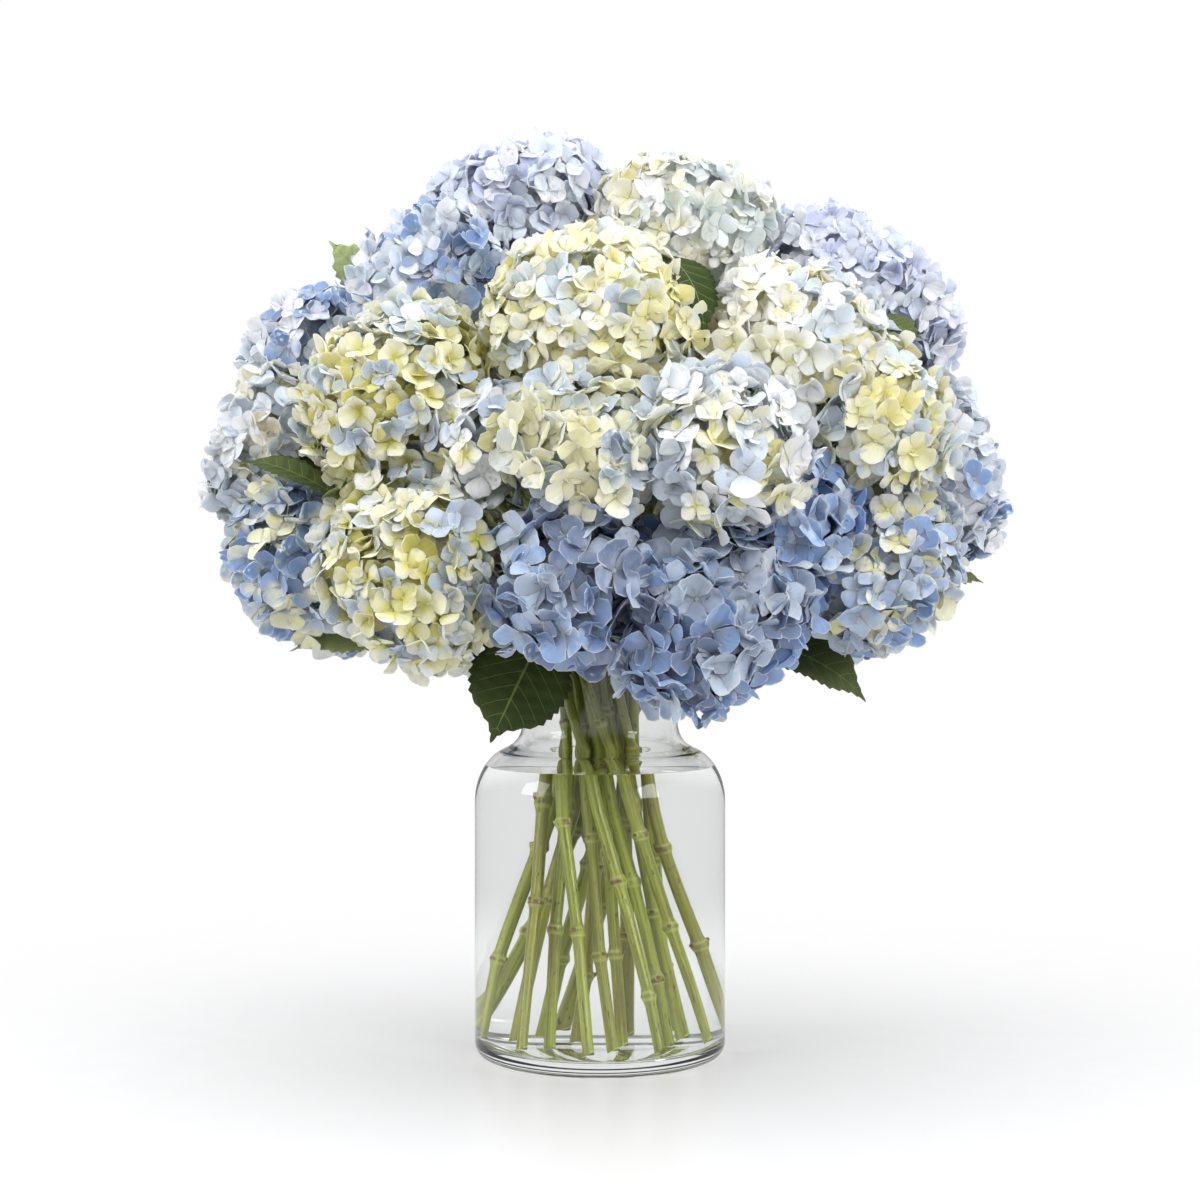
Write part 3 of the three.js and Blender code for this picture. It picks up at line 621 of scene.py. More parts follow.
def petal_material():
    """Thin matte petals: pale at the heart, with streaked veins and blotches, painted shade near the heart and deep
    in the head on blue ones, and lighter margins that are a painted rim highlight.
    """
    material, tree, shader = new_material("petal")
    along = attribute(tree, "along")
    side = math_node(tree, "ABSOLUTE", attribute(tree, "across"))
    pick = attribute(tree, "floret_pick")
    buried = attribute(tree, "buried")
    each = math_node(tree, "FRACT", math_node(tree, "MULTIPLY_ADD", pick, 5.3, attribute(tree, "petal")))

    # The floret's own colour, with a wash of the head's third colour that drifts over it.
    own = attribute(tree, "petal_colour", "Color")
    wash = attribute(tree, "touch_colour", "Color")
    heart = attribute(tree, "heart_colour", "Color")
    drift = math_node(tree, "MULTIPLY_ADD", each, 0.22, noise_node(tree, 62.0, 2.0))
    petal = mixed(tree, ease(tree, drift, 0.56, 0.8, 0.0, 0.7), own, wash)

    # The heart, which fades out along the petal: creamy on warm petals and whitish on blue ones.
    parts = add_node(tree, "ShaderNodeSeparateColor", {0: petal}).outputs
    creamy = ease(tree, math_node(tree, "SUBTRACT", parts["Red"], parts["Blue"]), -0.08, 0.1)
    heart = mixed(tree, creamy, mixed(tree, 0.35, petal, (0.74, 0.77, 0.82)), heart)
    reach = math_node(tree, "MULTIPLY_ADD", noise_node(tree, 95.0, 2.0), 0.5, along)
    colour = mixed(tree, ease(tree, reach, 0.2, 0.85), heart, petal)
    deep = math_node(tree, "MULTIPLY", buried, math_node(tree, "MULTIPLY_ADD", creamy, 0.65, 0.05))
    colour = mixed(tree, deep, colour, heart)

    # Fine streaks along the petal, and painted shade: blue petals are darker near the heart and deep in the head.
    streaks = noise_node(
        tree, 1.0, 2.0,
        combined(tree, math_node(tree, "MULTIPLY", side, 8.0), along, math_node(tree, "MULTIPLY", each, 40.0)),
    )
    light = math_node(
        tree, "MULTIPLY", ease(tree, streaks, 0.3, 0.7, 0.95, 1.03), ease(tree, each, 0, 1, 0.9, 1.06)
    )
    bluish = ease(tree, math_node(tree, "SUBTRACT", parts["Blue"], parts["Red"]), 0.05, 0.24)
    # Painted shade: darker toward the heart of blue petals, and darker still on blue florets of the under layer.
    inner = math_node(
        tree, "MULTIPLY", ease(tree, along, 0.0, 0.6, 0.22, 0.0), math_node(tree, "MULTIPLY_ADD", bluish, 1.1, 0.1)
    )
    painted_shade = math_node(tree, "MULTIPLY_ADD", buried, math_node(tree, "MULTIPLY", bluish, 0.3), inner)
    light = math_node(tree, "MULTIPLY", light, math_node(tree, "SUBTRACT", 1.0, painted_shade))
    colour = mixed(tree, 1.0, colour, combined(tree, light, light, light), "MULTIPLY")

    # Lighter margins, a painted rim highlight, and green stalks, which have an along below zero.
    edge = math_node(tree, "MAXIMUM", ease(tree, side, 0.86, 1.0), ease(tree, along, 0.94, 1.0))
    colour = mixed(tree, math_node(tree, "MULTIPLY", edge, 0.55), colour, (0.9, 0.91, 0.92))
    green = ease(tree, along, -0.5, -0.05, 1.0, 0.0)
    colour = mixed(tree, green, colour, from_daylight((168, 180, 132)))
    coated(tree, shader, colour, 0.6, 0.25)
    bumped(tree, shader, streaks, 0.35, 0.6)
    shader.inputs["Subsurface Weight"].default_value = 0.9
    shader.inputs["Subsurface Radius"].default_value = (1.0, 1.0, 1.0)
    shader.inputs["Subsurface Scale"].default_value = 0.36 * MM
    return material


def core_material():
    """The crowd of buds and stalks deep inside a head: green darkened as painted shade, and tinted toward the petals'
    colour where florets cover it, as painted light that comes through them.
    """
    material, tree, shader = new_material("stalks_inside")
    petal = attribute(tree, "main_colour", "Color")
    shade = noise_node(tree, 260.0, 4.0)
    # Painted shade: the stalks are a dark green, darker than the canes. Where florets cover them they turn mostly to
    # the head's petal colour, a painted light.
    green = mixed(tree, ease(tree, shade, 0.35, 0.65), from_daylight((34, 42, 24)), from_daylight((96, 104, 72)))
    colour = mixed(tree, ease(tree, attribute(tree, "covered"), 0.05, 0.25, 0.05, 0.75), green, petal)
    coated(tree, shader, colour, 0.8)
    bumped(tree, shader, shade, 0.9, 2)
    return material


def stem_material():
    """Green canes with fine streaks, small dark flecks, and brown scars round the joints."""
    colours = bpy.context.scene.bouquet_colours
    material, tree, shader = new_material("green_stem")
    run = attribute(tree, "run")
    turn = attribute(tree, "turn")
    joint = attribute(tree, "joint")
    which = attribute(tree, "cane_pick")
    angle = math_node(tree, "MULTIPLY", turn, TAU)
    round_x = math_node(tree, "COSINE", angle)
    round_y = math_node(tree, "SINE", angle)

    def round_the_cane(tightness, stretch, offset):
        """Where to look up a pattern, so that it closes round the cane and differs on each."""
        return combined(
            tree,
            math_node(tree, "MULTIPLY", round_x, tightness),
            math_node(tree, "MULTIPLY", round_y, tightness),
            math_node(tree, "MULTIPLY_ADD", which, offset, math_node(tree, "MULTIPLY", run, stretch)),
        )

    # Light and dark green streaks, some canes and patches browner, and the canes darker olive higher up, a painted
    # shade under the heads.
    streaks = noise_node(tree, 1.0, 4.0, round_the_cane(1.5, 9.0, 9.0), 0.6)
    patches = noise_node(tree, 1.0, 3.0, round_the_cane(0.7, 26.0, 17.0))
    base = tuple(colours.stem)
    colour = mixed(
        tree, ease(tree, streaks, 0.3, 0.7),
        tuple(c * 0.5 for c in base), tuple(min(1, c * 1.4) for c in base),
    )
    own = math_node(tree, "FRACT", math_node(tree, "MULTIPLY", which, 7.3))
    colour = mixed(tree, ease(tree, own, 0.2, 1.0, 0.0, 0.4), colour, from_daylight((136, 122, 62)))
    colour = mixed(tree, ease(tree, patches, 0.5, 0.72, 0.0, 0.6), colour, from_daylight((116, 96, 48)))
    # Painted shade: from about the water's height up, the canes turn half-way to a dark olive.
    colour = mixed(tree, ease(tree, run, 0.16, 0.3, 0.0, 0.5), colour, from_daylight((84, 98, 36)))
    flecks = noise_node(tree, 1.0, 2.0, round_the_cane(2.6, 230.0, 31.0))
    colour = mixed(tree, ease(tree, flecks, 0.64, 0.72, 0.0, 0.85), colour, from_daylight((66, 50, 24)))

    # Scars on one side of each joint, a pale ring beside them, and a pale cut end.
    winding = math_node(tree, "MULTIPLY_ADD", run, 47.0, angle)
    facing = math_node(tree, "SINE", math_node(tree, "MULTIPLY_ADD", which, 61.0, winding))
    scar = math_node(tree, "MULTIPLY", joint, ease(tree, facing, 0.1, 0.75))
    scar = math_node(tree, "MULTIPLY", scar, ease(tree, noise_node(tree, 260.0, 3.0), 0.3, 0.5))
    scar = math_node(tree, "MAXIMUM", ease(tree, scar, 0.15, 0.6), ease(tree, joint, 1.3, 1.8))
    colour = mixed(tree, math_node(tree, "MULTIPLY", scar, 0.85), colour, tuple(colours.joint))
    ring = math_node(tree, "MULTIPLY", ease(tree, joint, 0.2, 0.5), ease(tree, joint, 0.9, 0.6))
    colour = mixed(tree, math_node(tree, "MULTIPLY", ring, 0.5), colour, from_daylight((186, 190, 112)))
    colour = mixed(tree, ease(tree, run, 0.0008, 0.0003), colour, from_daylight((206, 208, 150)))
    height = math_node(
        tree, "ADD", math_node(tree, "MULTIPLY", streaks, 0.6), math_node(tree, "MULTIPLY", scar, -0.9)
    )
    coated(tree, shader, colour, 0.3)
    bumped(tree, shader, height, 0.35, 0.5)
    return material


def leaf_material():
    """Dark glossy leaves with pale feathered veins and a duller, paler underside."""
    colours = bpy.context.scene.bouquet_colours
    material, tree, shader = new_material("leaf")
    side = math_node(tree, "ABSOLUTE", attribute(tree, "across"))
    row = attribute(tree, "row")
    under = attribute(tree, "underside")
    young = attribute(tree, "young")

    # The midrib, side veins that fade toward the margin, and a fine net between them.
    away = math_node(tree, "ABSOLUTE", math_node(tree, "SUBTRACT", math_node(tree, "FRACT", row), 0.5))
    side_vein = ease(tree, away, 0.012, 0.04, 1.0, 0.0)
    side_vein = math_node(tree, "MULTIPLY", side_vein, ease(tree, side, 0.55, 0.95, 1.0, 0.15))
    side_vein = math_node(tree, "MULTIPLY", side_vein, ease(tree, row, 0.1, 0.4))
    midrib = ease(tree, side, 0.01, 0.035, 1.0, 0.0)
    net = add_node(
        tree, "ShaderNodeTexVoronoi",
        {"Vector": combined(
            tree, math_node(tree, "MULTIPLY", row, 3.0), math_node(tree, "MULTIPLY", side, 9.0), young
        ), "Scale": 1.0},
        feature="DISTANCE_TO_EDGE",
    ).outputs["Distance"]
    net = ease(tree, net, 0.0, 0.09, 1.0, 0.0)
    veins = math_node(tree, "MAXIMUM", midrib, math_node(tree, "MULTIPLY", side_vein, 0.75), clamp=True)

    mottle = noise_node(tree, 55.0, 3.0)
    green = mixed(tree, young, tuple(colours.leaf), tuple(colours.young_leaf))
    lighter = mixed(tree, young, from_daylight((42, 64, 14)), from_daylight((194, 204, 148)))
    colour = mixed(tree, ease(tree, mottle, 0.35, 0.7, 0.0, 0.6), green, lighter)
    colour = mixed(tree, math_node(tree, "MULTIPLY", net, 0.12), colour, from_daylight((84, 108, 50)))
    colour = mixed(tree, math_node(tree, "MULTIPLY", veins, 0.62), colour, from_daylight((146, 168, 98)))
    colour = mixed(tree, math_node(tree, "MULTIPLY", under, 0.5), colour, from_daylight((120, 140, 88)))
    height = math_node(tree, "SUBTRACT", math_node(tree, "MULTIPLY", net, -0.25), veins)
    coated(tree, shader, colour, 0.4, 0.05)
    bumped(tree, shader, height, 0.45, 0.6)
    return material


def clear_material(name, tint, bend):
    """Clear glass or water. Lamps shine through it, so that what stands inside is lit."""
    material, tree, shader = new_material(name)
    shader.inputs["Base Color"].default_value = (*tint, 1.0)
    shader.inputs["Roughness"].default_value = 0.0
    shader.inputs["IOR"].default_value = bend
    shader.inputs["Transmission Weight"].default_value = 1.0
    clear = add_node(tree, "ShaderNodeBsdfTransparent")
    path = add_node(tree, "ShaderNodeLightPath")
    mix = add_node(
        tree, "ShaderNodeMixShader", {0: path.outputs["Is Shadow Ray"], 1: shader.outputs[0], 2: clear.outputs[0]}
    )
    tree.links.new(mix.outputs[0], first_node(tree, "OUTPUT_MATERIAL").inputs["Surface"])
    return material


# ------------------------------------------------------------------ vase and water


def arc(middle, reach, start, end, steps):
    """Spots on part of an ellipse in the vase's outline, between two angles in degrees."""
    return [
        (
            middle[0] + reach[0] * math.cos(math.radians(start + (end - start) * i / steps)),
            middle[1] + reach[1] * math.sin(math.radians(start + (end - start) * i / steps)),
        )
        for i in range(steps + 1)
    ]


def turned(name, outline, sides, wet):
    """A closed body from an outline that is turned round the vase's axis.

    Its faces take the second material where both spots of the outline are wet.
    """
    corners, faces, rings, skins = [], [], [], []
    for radius, height in outline:
        if radius < 1e-6:
            rings.append([len(corners)])
            corners.append((0, 0, height))
            continue
        rings.append(list(range(len(corners), len(corners) + sides)))
        corners += ring_of_corners(radius, sides, height)
    for step, (low, high) in enumerate(zip(rings, rings[1:])):
        for i in range(sides):
            j = (i + 1) % sides
            if len(low) == 1:
                faces.append((low[0], high[j], high[i]))
            elif len(high) == 1:
                faces.append((low[i], low[j], high[0]))
            else:
                faces.append((low[i], low[j], high[j], high[i]))
            skins.append(1 if wet(step) and wet(step + 1) else 0)
    mesh = smooth(mesh_from(name, corners, faces))
    mesh.polygons.foreach_set("material_index", skins)
    return mesh


def vase_outline():
    """The glass from the middle of its underside, up its outer face, over the rim, and down inside."""
    outside = [(0, 1.6), (30, 1.4), (52, 0.8), (58, 0.15), (60, 0), (66, 0)]
    outside += arc((66, 9), (9, 9), -75, 0, 6)
    outside += [(75, 40), (75, 80), (75, 120), (75, 150)]
    outside += arc(SHOULDER_MIDDLE, SHOULDER_OUTSIDE, SHOULDER_FROM, SHOULDER_TO, 14)
    outside += [(55.2, 184.6), (51.8, 186.8), (49.3, 189.6), (47.6, 193.0), (46.7, 197)]
    outside += [(46.5, 205), (46.5, 220), (46.5, 232), (47.2, 236), (48.6, 239.2)]
    outside += arc((47.3, 241.2), (1.7, 1.7), -20, 90, 5)
    inside = arc((46.9, 241.2), (1.6, 1.7), 90, 180, 4)
    inside += [(44.8, 238.5), (43.7, 234), (43.5, 230), (43.5, 215), (43.5, 200), (43.6, 196)]
    inside += [(44.4, 191.6), (46.2, 187.6), (49.0, 184.4), (52.6, 181.9)]
    inside += arc(SHOULDER_MIDDLE, SHOULDER_INSIDE, SHOULDER_TO, WATER_EDGE, 5)
    inside += arc(SHOULDER_MIDDLE, SHOULDER_INSIDE, WATER_EDGE, SHOULDER_FROM, 8)[1:]
    inside += [(72, 150), (72, 110), (72, 60), (72, 24)]
    inside += arc((64, 18), (8, 9.4), 0, -80, 6)
    inside += [(58, 8.4), (40, 8.2), (0, 8)]
    return outside + inside


def water_outline():
    """The water, which meets the glass and climbs it a little at its edge."""
    overlap = WATER_OVERLAP
    shoulder = (SHOULDER_INSIDE[0] + overlap, SHOULDER_INSIDE[1] + overlap)
    outline = [(0, 8 - overlap), (40, 8.2 - overlap), (58, 8.4 - overlap)]
    outline += [(x + overlap * 0.7, z - overlap * 0.7) for x, z in arc((64, 18), (8, 9.4), -80, 0, 6)]
    outline += [(72 + overlap, 24), (72 + overlap, 60), (72 + overlap, 110), (72 + overlap, 150)]
    outline += arc(SHOULDER_MIDDLE, shoulder, SHOULDER_FROM, WATER_EDGE, 8)
    edge = outline[-1][0]
    outline += [(edge - 0.4, WATER_LEVEL + 0.12), (edge - 1.2, WATER_LEVEL + 0.02), (edge - 3, WATER_LEVEL)]
    outline += [(30, WATER_LEVEL), (0, WATER_LEVEL)]
    return outline


class BOUQUET_OT_vase(bpy.types.Operator):
    """Makes the clear glass jar"""

    bl_idname = "bouquet.vase"
    bl_label = "Make vase"

    def execute(self, context):
        outline = vase_outline()
        rim = max(range(len(outline)), key=lambda i: outline[i][1])

        def wet(i):
            return i > rim and outline[i][1] < WATER_LEVEL + 0.5

        mesh = turned("vase_glass", outline, context.scene.bouquet_sizes.glass_sides, wet)
        piece = new_object("vase_glass", mesh)
        against_water = GLASS_BENDS_LIGHT / WATER_BENDS_LIGHT
        mesh.materials.append(clear_material("clear_glass", GLASS_TINT, GLASS_BENDS_LIGHT))
        mesh.materials.append(clear_material("glass_under_water", GLASS_TINT, against_water))
        keep_piece(piece, "glass", "vase")
        return {"FINISHED"}


class BOUQUET_OT_water(bpy.types.Operator):
    """Makes the water in the jar"""

    bl_idname = "bouquet.water"
    bl_label = "Make water"

    def execute(self, context):
        outline = water_outline()
        edge = max(range(len(outline)), key=lambda i: outline[i][1])
        mesh = turned(
            "still_water", outline, context.scene.bouquet_sizes.glass_sides, lambda i: i <= edge
        )
        piece = new_object("still_water", mesh)
        mesh.materials.append(clear_material("water_surface", WATER_TINT, WATER_BENDS_LIGHT))
        mesh.materials.append(clear_material("water_against_glass", WATER_TINT, 1.0))
        keep_piece(piece, "water", "water")
        return {"FINISHED"}


# ------------------------------------------------------------------ canes


def head_centre(name):
    return Vector(HEADS[name].middle)


def head_axis(name):
    return (head_centre(name) - FOCUS).normalized()


def head_neck(name):
    """The spot on a head's underside where its stalk meets the cane."""
    return head_centre(name) - head_axis(name) * NECK_DEPTH * HEADS[name].radius


def leaning_spot(ring, slot, height):
    """The straight run of a cane: its spot at a height, on the ring where it passes the waist."""
    radius = RINGS[ring].radius
    side = RINGS[ring].lean * (height - WAIST_HEIGHT)
    return Vector((
        radius * math.cos(slot) + side * math.sin(slot),
        radius * math.sin(slot) - side * math.cos(slot),
        height,
    ))


class Bend:
    """A curve that leaves one spot in its direction and comes into the other in its own."""

    def __init__(self, start, leaving, end, arriving, leave_pull=0.46, arrive_pull=0.3):
        span = (end - start).length
        self.handles = (start, start + leaving * span * leave_pull, end - arriving * span * arrive_pull, end)

    def spot(self, t):
        a, b, c, d = self.handles
        s = 1 - t
        return a * s**3 + b * 3 * s * s * t + c * 3 * s * t * t + d * t**3

    def heading(self, t):
        return (self.spot(min(t + 0.01, 1)) - self.spot(max(t - 0.01, 0))).normalized()


def cane_slots():
    """Where each cane stands on its ring, as an angle."""
    counts = Counter(ring for ring, _, _ in CANES)
    placed, slots = Counter(), []
    for ring, _, _ in CANES:
        slots.append(math.radians(RINGS[ring].first) + placed[ring] * TAU / counts[ring])
        placed[ring] += 1
    return slots


SLOTS = cane_slots()


def cane_bends(index):
    """The foot of a cane, its bend, and the bend of its side shoot or None."""
    ring, head, shoot = CANES[index]
    lift = 0.3 + RINGS[ring].diameter / 2 * RINGS[ring].lean
    foot = leaning_spot(ring, SLOTS[index], FLOOR + lift)
    start = leaning_spot(ring, SLOTS[index], BEND_START)
    bend = Bend(start, (start - foot).normalized(), head_neck(head), head_axis(head))
    if not shoot:
        return foot, bend, None
    fork = bend.spot(SHOOT_FROM)
    rising = bend.heading(SHOOT_FROM).lerp(UP, 0.7).normalized()
    return foot, bend, Bend(fork, rising, head_neck(shoot), head_axis(shoot))


def cane_joints(index):
    """The heights of a cane's joints in the vase."""
    heights = [44 + (index * 37) % 52]
    while heights[-1] < WAIST_HEIGHT:
        heights.append(heights[-1] + 54 + (index * 23 + 11 * len(heights)) % 17)
    return heights


def cane_kink(index, height):
    """How far a cane stands off its straight line: it changes its way a little at each joint."""
    marks = [FLOOR, *cane_joints(index), BEND_START + 30]
    rng = random.Random(900 + index)
    offs = [Vector((0, 0, 0))]
    for _ in marks[1:-1]:
        offs.append(Vector((rng.uniform(-1, 1), rng.uniform(-1, 1), 0)).normalized() * CANE_KINK)
    offs.append(Vector((0, 0, 0)))
    for low, high, before, after in zip(marks, marks[1:], offs, offs[1:]):
        if height <= high:
            return before.lerp(after, max(0.0, (height - low) / (high - low)))
    return offs[-1]


def path_end(bend, head):
    """The last spot of a cane or shoot, inside its head."""
    return bend.spot(1) + head_axis(head) * INTO_HEAD, SHOOT_DIAMETER * 0.9, 0


def cane_paths(index):
    """The lines that a cane, its shoot and its leaf stalks follow.

    Each line is a list of spots, with the diameter there and how near a joint is.
    """
    ring, head, shoot = CANES[index]
    diameter = RINGS[ring].diameter
    foot, bend, shoot_bend = cane_bends(index)
    start = bend.spot(0)
    joints = cane_joints(index)
    steps = int((start - foot).length / STRAIGHT_STEP)
    line = []
    for i in range(steps):
        spot = foot.lerp(start, i / steps)
        near = max(math.exp(-(((spot.z - joint) / JOINT_REACH) ** 2)) for joint in joints)
        swell = SLIMMER + JOINT_SWELL * near + 0.05 * math.exp(-((spot.z - foot.z) / 6) ** 2)
        line.append((spot + cane_kink(index, spot.z), diameter * swell, near))
    count = int((bend.spot(1) - start).length / BEND_STEP) + 4
    for i in range(count + 1):
        t = i / count
        near = math.exp(-(((t - SHOOT_FROM) * 60) ** 2) / 3) if shoot else 0
        slim = SLIMMER * (1 - t) + t
        line.append((bend.spot(t), (diameter * (1 - t) + SHOOT_DIAMETER * t) * (slim + 0.2 * near), near))
    line[-1] = path_end(bend, head)
    paths = [line]
    if shoot_bend:
        count = int((shoot_bend.spot(1) - shoot_bend.spot(0)).length / BEND_STEP) + 4
        side = [
            (shoot_bend.spot(i / count), SHOOT_DIAMETER * (1.15 - 0.15 * min(1, i / 5)), 0)
            for i in range(count)
        ]
        paths.append([*side, path_end(shoot_bend, shoot)])
    for leaf in LEAVES:
        if leaf.head == head:
            paths.append(leaf_stalk(leaf, bend if leaf.grows_on == "bend" else shoot_bend))
    return paths


def between(a, b, c, d, t):
    """The spot from b to c on a smooth line through four spots."""
    return 0.5 * (2 * b + (c - a) * t + (2 * a - 5 * b + 4 * c - d) * t * t + (3 * b - a - 3 * c + d) * t**3)


def leaf_stalk(leaf, bend):
    """The stalk of a leaf, from inside its cane to under its blade."""
    base, tip = Vector(leaf.base), Vector(leaf.tip)
    marks = [bend.spot(leaf.share), *[Vector(spot) for spot in leaf.way], base, base.lerp(tip, 0.05)]
    marks = [marks[0] * 2 - marks[1], *marks, marks[-1] * 2 - marks[-2]]
    line = []
    for i in range(1, len(marks) - 2):
        a, b, c, d = marks[i - 1:i + 3]
        steps = max(2, int((c - b).length / BEND_STEP))
        line += [(between(a, b, c, d, k / steps), STALK_DIAMETER, 0) for k in range(steps)]
    line.append((marks[-2], STALK_DIAMETER * 0.8, 0))
    return line


def stem_tree():
    """Sweeps a round section along each line of a mesh, as thick as its thickness says."""
    tree, given, result = new_tree("stems_along_lines", [
        ("Sides", "NodeSocketInt"),
        ("Skin", "NodeSocketMaterial"),
    ])
    curve = add_node(tree, "GeometryNodeMeshToCurve", {0: given["Geometry"]}).outputs[0]
    thickness = named(tree, "thickness")
    circle = add_node(
        tree, "GeometryNodeCurvePrimitiveCircle", {"Resolution": given["Sides"], "Radius": 1.0}, mode="RADIUS"
    ).outputs[0]
    circle = stored(tree, circle, "turn", add_node(tree, "GeometryNodeSplineParameter").outputs["Factor"])
    swept = add_node(
        tree, "GeometryNodeCurveToMesh",
        {"Curve": curve, "Profile Curve": circle, "Scale": thickness, "Fill Caps": True},
    ).outputs[0]
    dressed = add_node(tree, "GeometryNodeSetMaterial", {"Geometry": swept, "Material": given["Skin"]}).outputs[0]
    tree.links.new(dressed, result)
    return tree


def stub(rng, spot, heading, outward, diameter):
    """The scar that a leaf left on a joint: a small swelling with a flat brown end."""
    corners, faces = [], []
    side = heading.cross(outward).normalized()
    rings = [(0.3, 2.1, 2.4), (0.45, 1.7, 1.7), (0.54 + 0.09 * rng.random(), 1.1, 0.9)]
    sides = STUB_SIDES
    for depth, wide, high in rings:
        middle = spot + outward * diameter * depth + heading * (depth - 0.3) * 5
        for i in range(sides):
            angle = TAU * i / sides
            up = heading * high * math.sin(angle) * (1 + 0.2 * rng.random())
            corners.append(middle + side * wide * math.cos(angle) + up)
    for ring in range(len(rings) - 1):
        for i in range(sides):
            a, b = ring * sides + i, ring * sides + (i + 1) % sides
            faces.append((a, b, b + sides, a + sides))
    faces.append(tuple(reversed(range(sides))))
    faces.append(tuple(range((len(rings) - 1) * sides, len(rings) * sides)))
    return corners, faces


def joined_stubs(piece, index, rng):
    """Adds the leaf scars of a cane to its finished mesh."""
    ring = CANES[index][0]
    foot, bend, _ = cane_bends(index)
    heading = (bend.spot(0) - foot).normalized()
    diameter = RINGS[ring].diameter
    build = bmesh.new()
    build.from_mesh(piece.data)
    layers = {name: build.verts.layers.float[name] for name in ("run", "turn", "joint", "cane_pick")}
    for number, height in enumerate(cane_joints(index)):
        if height > BEND_START:
            continue
        spot = leaning_spot(ring, SLOTS[index], height) + cane_kink(index, height)
        turn = rng.random() * TAU
        for flip in (0, math.pi) if rng.random() < 0.4 else (0,):
            reference = heading.orthogonal().normalized()
            outward = Matrix.Rotation(turn + flip + number * math.pi / 2, 3, heading) @ reference
            corners, faces = stub(rng, spot, heading, outward, diameter)
            made = [build.verts.new(corner * MM) for corner in corners]
            for place, vertex in enumerate(made):
                vertex[layers["run"]] = height * MM
                vertex[layers["turn"]] = 0.3
                vertex[layers["joint"]] = 2.0 if place >= len(made) - STUB_SIDES else 0.0
                vertex[layers["cane_pick"]] = index / len(CANES)
            for face in faces:
                build.faces.new([made[i] for i in face]).smooth = True
    bmesh.ops.recalc_face_normals(build, faces=build.faces)
    build.to_mesh(piece.data)
    build.free()


def cut_foot(piece, index):
    """Slants the lowest ring of a cane, as the knife left it."""
    ring = CANES[index][0]
    diameter = RINGS[ring].diameter
    foot, bend, _ = cane_bends(index)
    heading = (bend.spot(0) - foot).normalized()
    foot_metres = foot * MM
    for vertex in piece.data.vertices:
        offset = vertex.co - foot_metres
        if abs(offset.dot(heading)) < 0.4 * MM and offset.length < diameter * MM:
            vertex.co += heading * (offset.x + diameter / 2 * MM) * CUT_SLOPE


class BOUQUET_OT_canes(bpy.types.Operator):
    """Makes the canes, their side shoots and the stalks of their leaves"""

    bl_idname = "bouquet.canes"
    bl_label = "Make canes"

    def execute(self, context):
        tree = stem_tree()
        skin = stem_material()
        sides = context.scene.bouquet_sizes.cane_sides
        for index in range(len(CANES)):
            rng = random.Random(500 + index)
            corners, edges = [], []
            values = {"thickness": [], "run": [], "joint": [], "cane_pick": []}
            for path_number, path in enumerate(cane_paths(index)):
                run = 0.0 if path_number == 0 else 0.25
                for i, (spot, diameter, near) in enumerate(path):
                    if i:
                        run += (spot - path[i - 1][0]).length * MM
                        edges.append((len(corners) - 1, len(corners)))
                    corners.append(spot * MM)
                    values["thickness"].append(diameter / 2 * MM)
                    values["run"].append(run)
                    values["joint"].append(near)
                    values["cane_pick"].append(index / len(CANES))
            mesh = bpy.data.meshes.new("stem")
            mesh.from_pydata(corners, edges, [])
            for name, numbers in values.items():
                store(mesh, name, "FLOAT", numbers)
            piece = new_object(f"stem_{index + 1:02d}", mesh)
            nodes_modifier(piece, tree, {"Sides": sides, "Skin": skin})
            smooth(baked_mesh(piece))
            cut_foot(piece, index)
            joined_stubs(piece, index, rng)
            keep_piece(piece, "cane", f"cane_{index + 1:02d}")
        return {"FINISHED"}


# ------------------------------------------------------------------ leaves


def blade_fullness(s):
    """How wide a blade is along its length: broad before the middle, with a drawn-out tip."""
    if not 0 < s < 1:
        return 0.0
    tail = min(1, max(0, (s - 0.7) / 0.25))
    return 2.49 * s**0.55 * (1 - s) ** 0.8 * (1 - 0.72 * tail * tail * (3 - 2 * tail))


